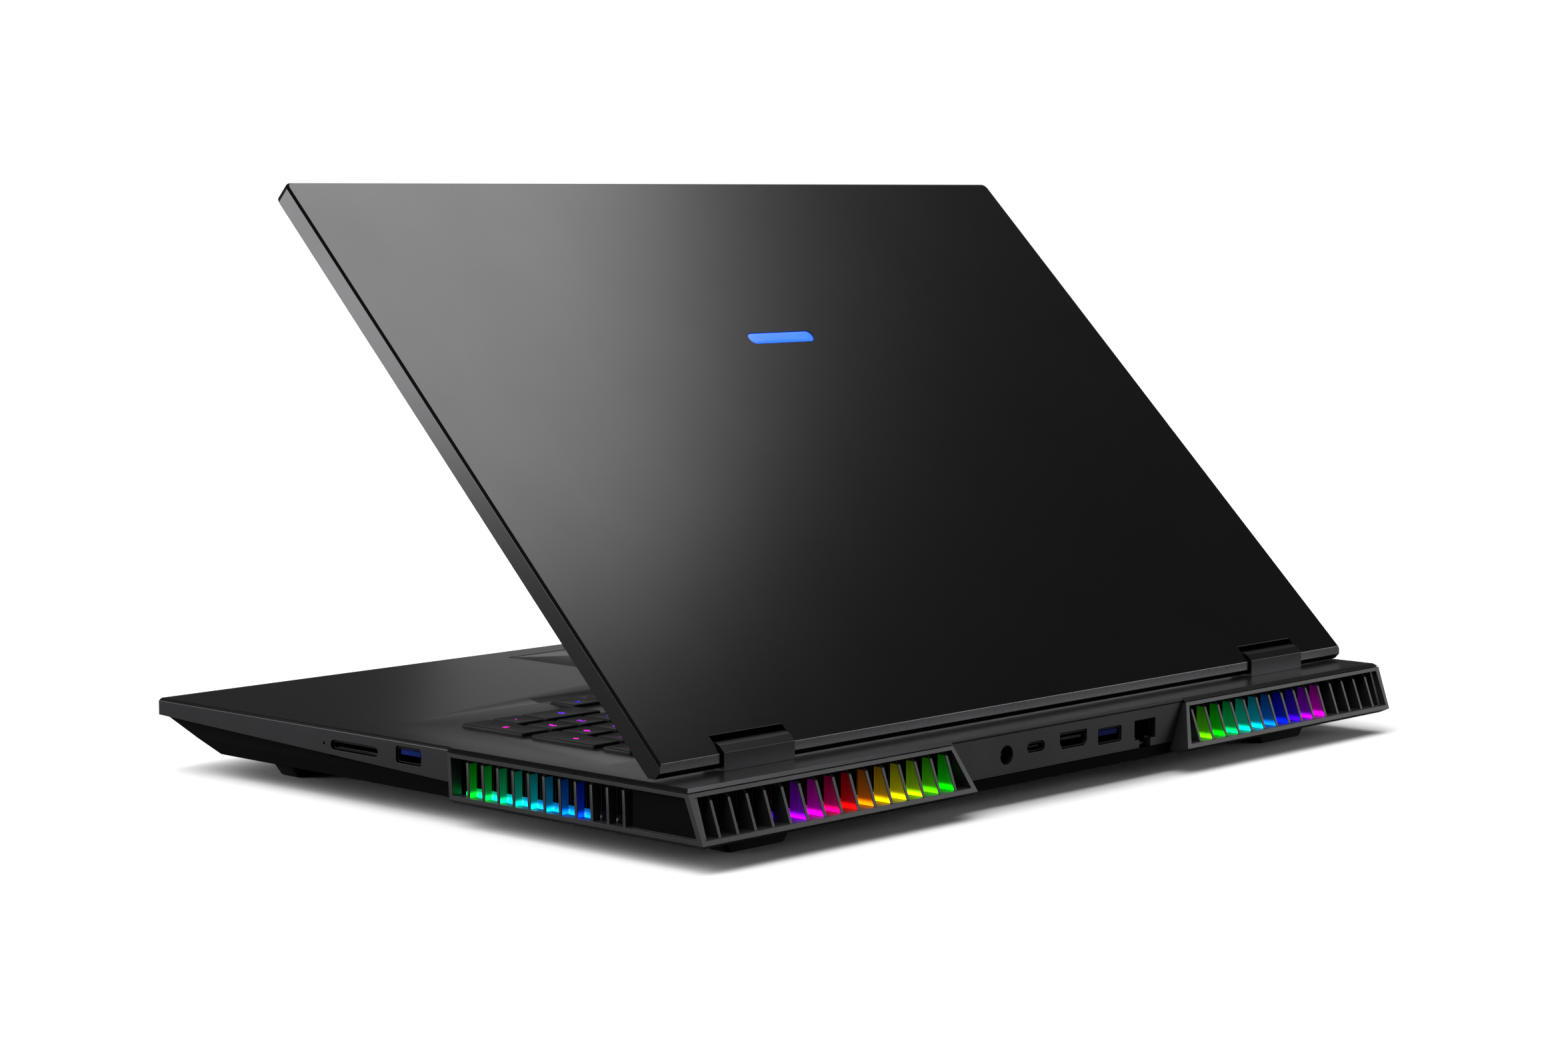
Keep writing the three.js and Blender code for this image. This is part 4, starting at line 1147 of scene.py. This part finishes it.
# ---- Ports ----
@dataclass
class Ports(Assembly):
    """The rear port panel, the sockets behind it and in the sides, and their contacts."""

    tongue_side: float = 1.2  # space on both sides of a type-A tongue
    tongue_lip: float = 0.5  # how far it stands back from the mouth
    tongue_root: float = 1.0  # how much further it stands off at its root
    tongue_thick: float = 2.0
    shell_edge: float = 0.08
    blade_thick: float = 0.24

    def build(self) -> None:
        """Makes the panel, sockets and contacts."""
        self.softened("rear_port_panel", 0.15, Look.GRILLE_LACQUER, Slot.ALLOY)
        for node in ("usb_c_port", "hdmi_port", "card_reader", "audio_jack"):
            self.softened(node, self.shell_edge, Look.SOCKET_STEEL, Slot.STEEL)
        for place, axis, out in (("rear", 1, 1), ("right", 0, 1), ("left", 0, -1)):
            node = "usb_a_port_" + place
            self.softened(node, self.shell_edge, Look.SOCKET_STEEL, Slot.INSERT)
            self.tongue(node, axis, out)
        for node in ("ethernet_port", "dc_jack"):
            self.softened(node, 0.12, Look.BLACK_NYLON, Slot.PLASTIC)
        self.contacts()

    def tongue(self, node: str, axis: int, out: int) -> None:
        """The blue tongue of a type-A socket: a block with broken edges round the upper half of its mouth.

        Args:
            node: the socket's node.
            axis: the axis that the plug goes in along, 0 for x or 1 for y.
            out: 1 where the mouth is at the high end of that axis, -1 where it is at the low end.
        """
        low, high = box_of(node)
        middle = (low[2] + high[2]) / 2
        inset = np.full(3, self.tongue_side)
        inset[axis] = self.tongue_lip
        low, high = low + inset, high - inset
        if out > 0:
            low[axis] += self.tongue_root
        else:
            high[axis] -= self.tongue_root
        low[2], high[2] = middle - 0.05, middle + self.tongue_thick
        name = node.replace("port", "tongue")
        self.shell(name, blocks(low, high, 0.2), Look.BLUE_INSERT, Slot.INSERT, "base")

    def contacts(self) -> None:
        """Gold contact blades, evenly spaced in the network and display sockets."""
        blades = [
            self.blades("ethernet_port", 8, 1.02, 0.35, (10.0, 3.0), -1.9),
            self.blades("hdmi_port", 10, 1.0, 0.45, (6.5, 2.6), 0.05),
        ]
        self.shell("socket_contacts", joined(blades), Look.GOLD, Slot.STEEL, "base")

    def blades(
        self, node: str, count: int, pitch: float, wide: float, reach: tuple[float, float], lift: float
    ) -> Shell:
        """A row of blades centred in a rear socket.

        Args:
            node: the socket's node.
            count: how many blades.
            pitch: their spacing.
            wide: a blade's width.
            reach: how far behind the mouth they start and end.
            lift: their height above the socket's middle.

        Returns:
            The blades.
        """
        low, high = box_of(node)
        x = (low[0] + high[0]) / 2 + pitch * (np.arange(count) - (count - 1) / 2)
        z = (low[2] + high[2]) / 2 + lift
        half = self.blade_thick / 2
        lows = np.column_stack([x - wide / 2, np.full(count, high[1] - reach[0]), np.full(count, z - half)])
        highs = np.column_stack([x + wide / 2, np.full(count, high[1] - reach[1]), np.full(count, z + half)])
        return blocks(lows, highs, 0.04)


# ---- Hinges ----
@dataclass
class Hinges(Assembly):
    """The covers and brackets that stand on the base."""

    def build(self) -> None:
        """Softens the covers and dresses the brackets."""
        for node in both_hands("hinge_cover"):
            self.softened(node, 0.14, Look.DECK_ALLOY, Slot.ALLOY)
        self.dress(Look.STEEL, *both_hands("hinge_bracket"))


# ---- Inside the base ----
@dataclass
class Inside(Assembly):
    """Board, battery, cards, speakers, pipes and fans."""

    blade_count: int = 31
    blade_sweep: float = 38.0  # how far a blade leans round, in degrees
    blade_thick: float = 0.7
    hub: float = 13.0
    tip_gap: float = 0.4  # from a blade's upper and lower edges to the wheel's ends

    def build(self) -> None:
        """Makes the impellers and dresses the rest."""
        self.dress(Look.BOARD, "motherboard", "ssd_module", "memory_module")
        self.dress(Look.BATTERY_WRAP, "battery_pack")
        self.dress(Look.BLACK_NYLON, *both_hands("speaker"), *both_hands("fan_housing"))
        self.dress(Look.COPPER, *both_hands("heat_pipe"))
        for hand, sign in HANDS:
            self.impeller(hand, sign)

    def impeller(self, hand: str, sign: int) -> None:
        """A fan wheel: a domed hub, and blades whose angle grows with the square root of the way out.

        Each blade is a strip over radius and height, given its thickness square to its own line.
        """
        node = "fan_impeller_" + hand
        low, high = box_of(node)
        centre = (low + high) / 2
        reach = (high[0] - low[0]) / 2
        hub = self.hub
        foot, top = low[2] - centre[2], high[2] - centre[2]
        side = [(hub, foot), (hub, top - 1.2), (hub - 0.4, top - 0.4)]
        dome = [*side, (hub - 1.2, top), (hub * 0.5, top + 0.2), (1, top + 0.25)]
        out = np.linspace(0, 1, 9)
        radius = hub - 0.5 + (reach - hub + 0.5) * out
        lean = np.radians(self.blade_sweep) * np.sqrt(out) * sign
        line = np.stack([radius * np.cos(lean), radius * np.sin(lean)], -1)
        along = np.gradient(line, axis=0)
        square = np.stack([-along[:, 1], along[:, 0]], -1) / np.linalg.norm(along, axis=1)[:, None]
        half = self.blade_thick / 2
        outline = np.concatenate([line - half * square, (line + half * square)[::-1]])
        heights = np.array([foot + self.tip_gap, top - self.tip_gap])
        flat = np.broadcast_to(outline, (2, *outline.shape))
        tall = np.broadcast_to(heights[:, None, None], (2, len(outline), 1))
        one = np.concatenate([flat, tall], -1)
        turn = 2 * np.pi * np.arange(self.blade_count) / self.blade_count
        spin = np.array([[np.cos(turn), -np.sin(turn)], [np.sin(turn), np.cos(turn)]]).transpose(2, 0, 1)
        rings = np.empty((self.blade_count, *one.shape))
        rings[..., :2] = np.einsum("kij,lnj->klni", spin, one[..., :2])
        rings[..., 2] = one[..., 2]
        wheel = joined([lathed([[0, 0, 0]], dome, 36), stacked(rings)])
        placed = Shell(wheel.points + centre, wheel.faces)
        self.shell("fan_wheel_" + hand, placed, Look.BLACK_NYLON, Slot.PLASTIC, "fan_" + hand, [node])


# ---- Studio ----
def facing(place: Sequence[float], aim: Sequence[float]) -> Euler:
    """The turn of a lamp or camera at a place that looks at a point."""
    return (Vector(aim) - Vector(place)).to_track_quat("-Z", "Y").to_euler()


@dataclass(frozen=True)
class SoftLight:
    """An oblong soft light.

    Attributes:
        name: what it is called.
        place: where it stands, in metres.
        aim: the point that it faces.
        size: its width, in metres.
        watts: its power.
        tall: its height, where that isn't its width.
    """

    name: str
    place: tuple[float, float, float]
    aim: tuple[float, float, float]
    size: float
    watts: float
    tall: float | None = None

    def add(self) -> None:
        """Puts the light in the scene."""
        lamp = bpy.data.lights.new(self.name, "AREA")
        lamp.shape = "RECTANGLE"
        lamp.size = self.size
        lamp.size_y = self.tall or self.size
        lamp.energy = self.watts
        holder = in_scene(self.name, lamp)
        holder.location = self.place
        holder.rotation_euler = facing(self.place, self.aim)


@dataclass
class Studio:
    """A plain pale floor, a pale surround, the soft lights and the camera."""

    lights: tuple[SoftLight, ...] = (
        SoftLight("high_softbox", (-1.16, -0.15, 2.3), (0.0, 0.02, 0.13), 1.25, 21),
        SoftLight("side_card", (1.35, -1.15, 0.2), (0.19, 0.0, 0.06), 0.9, 15),
        SoftLight("rear_card", (-1.35, 1.2, 0.36), (0.0, 0.14, 0.03), 0.95, 9),
        SoftLight("front_card", (-1.4, -1.25, 0.17), (0.1, 0.0, 0.03), 0.8, 0.62, 0.3),
    )
    sky_from: tuple[float, float, float] = (0.45, -0.3, 1.0)
    sky_strength: float = 4.0
    sky_spread: float = 75.0
    world_light: float = 0.06
    floor_radius: float = 6.0
    floor_rings: int = 24
    floor_sides: int = 64
    bounce: str = "5c5c5c"  # how pale the floor is as a reflector, so that it throws little light up
    camera_place: tuple[float, float, float] = (0.9404, 0.8884, 0.2179)
    camera_aim: tuple[float, float, float] = (-0.00805, 0.00487, 0.09112)
    focal: float = 76.61
    shift: tuple[float, float] = (-0.0211, -0.0028)

    def build(self) -> None:
        """Sets the stage."""
        self.floor()
        self.surround()
        for light in self.lights:
            light.add()
        self.sky()
        self.camera()
        bpy.context.scene.view_settings.view_transform = "Standard"

    def floor(self) -> None:
        """A round floor: rings of points whose radius grows with the square of the step."""
        rings, sides = self.floor_rings, self.floor_sides
        radius = self.floor_radius * np.linspace(0.02, 1, rings) ** 2 / MM
        at = np.arange(sides)
        after = (at + 1) % sides
        angle = 2 * np.pi * at / sides
        x, y = np.outer(radius, np.cos(angle)), np.outer(radius, np.sin(angle))
        points = np.stack([x, y, np.zeros((rings, sides))], -1)
        level = sides * np.arange(rings - 1)[:, None]
        band = np.stack([level + at, level + sides + at, level + sides + after, level + after], -1)
        fan = np.stack([np.full(sides, rings * sides), at, after], -1)
        shape = Shell(np.concatenate([points.reshape(-1, 3), [[0, 0, 0]]]), (band.reshape(-1, 4), fan))
        mesh = make_mesh("studio_floor", shape)
        # Matt white emulsion on board: flat and even, with a faint roller texture.
        paint = Finish("white_emulsion_board", "f6f6f6", "fafafa", 0.8, 0, 6.0, 0.05, 300).material()
        tree = paint.node_tree
        seen = add_node(tree, "LightPath").outputs["Is Camera Ray"]
        dim = add_node(tree, "BsdfDiffuse", {"Color": linear(self.bounce)})
        links = {0: seen, 1: dim.outputs[0], 2: tree.nodes["Principled BSDF"].outputs[0]}
        mixed = add_node(tree, "MixShader", None, links)
        tree.links.new(mixed.outputs[0], tree.nodes["Material Output"].inputs["Surface"])
        mesh.materials.append(paint)
        in_scene("studio_floor", mesh)

    def sky(self) -> None:
        """The wide overhead light that keeps the floor evenly white out to the horizon."""
        lamp = bpy.data.lights.new("overhead_light", "SUN")
        lamp.energy = self.sky_strength
        lamp.angle = math.radians(self.sky_spread)
        holder = in_scene("overhead_light", lamp)
        holder.rotation_euler = facing(self.sky_from, (0, 0, 0))
        holder.visible_glossy = False

    def surround(self) -> None:
        """White beyond the floor, and a dimmer pale grey as light."""
        world = bpy.data.worlds.new("pale_surround")
        world.use_nodes = True
        tree = world.node_tree
        seen = add_node(tree, "LightPath").outputs["Is Camera Ray"]
        light, back = (
            add_node(tree, "Background", {"Color": linear("ffffff"), "Strength": strength})
            for strength in (self.world_light, 1.0)
        )
        mixed = add_node(tree, "MixShader", None, {0: seen, 1: light.outputs[0], 2: back.outputs[0]})
        tree.links.new(mixed.outputs[0], tree.nodes["World Output"].inputs["Surface"])
        bpy.context.scene.world = world

    def camera(self) -> None:
        """The camera, behind the laptop and to its right, just above the table."""
        lens = bpy.data.cameras.new("camera")
        lens.lens = self.focal
        lens.sensor_width = 36
        lens.shift_x, lens.shift_y = self.shift
        lens.clip_start = 0.01
        holder = in_scene("camera", lens)
        holder.location = self.camera_place
        holder.rotation_euler = facing(self.camera_place, self.camera_aim)
        bpy.context.scene.camera = holder


def main() -> None:
    """Builds the sub-assemblies in order, then the studio."""
    logging.basicConfig(level=logging.INFO, format="%(name)s: %(message)s")
    for assembly in (Tub(), Deck(), Keyboard(), Vents(), Ports(), Hinges(), Lid(), Inside()):
        log.info("building the %s", type(assembly).__name__.lower())
        assembly.build()
    Studio().build()


if __name__ == "__main__":
    main()
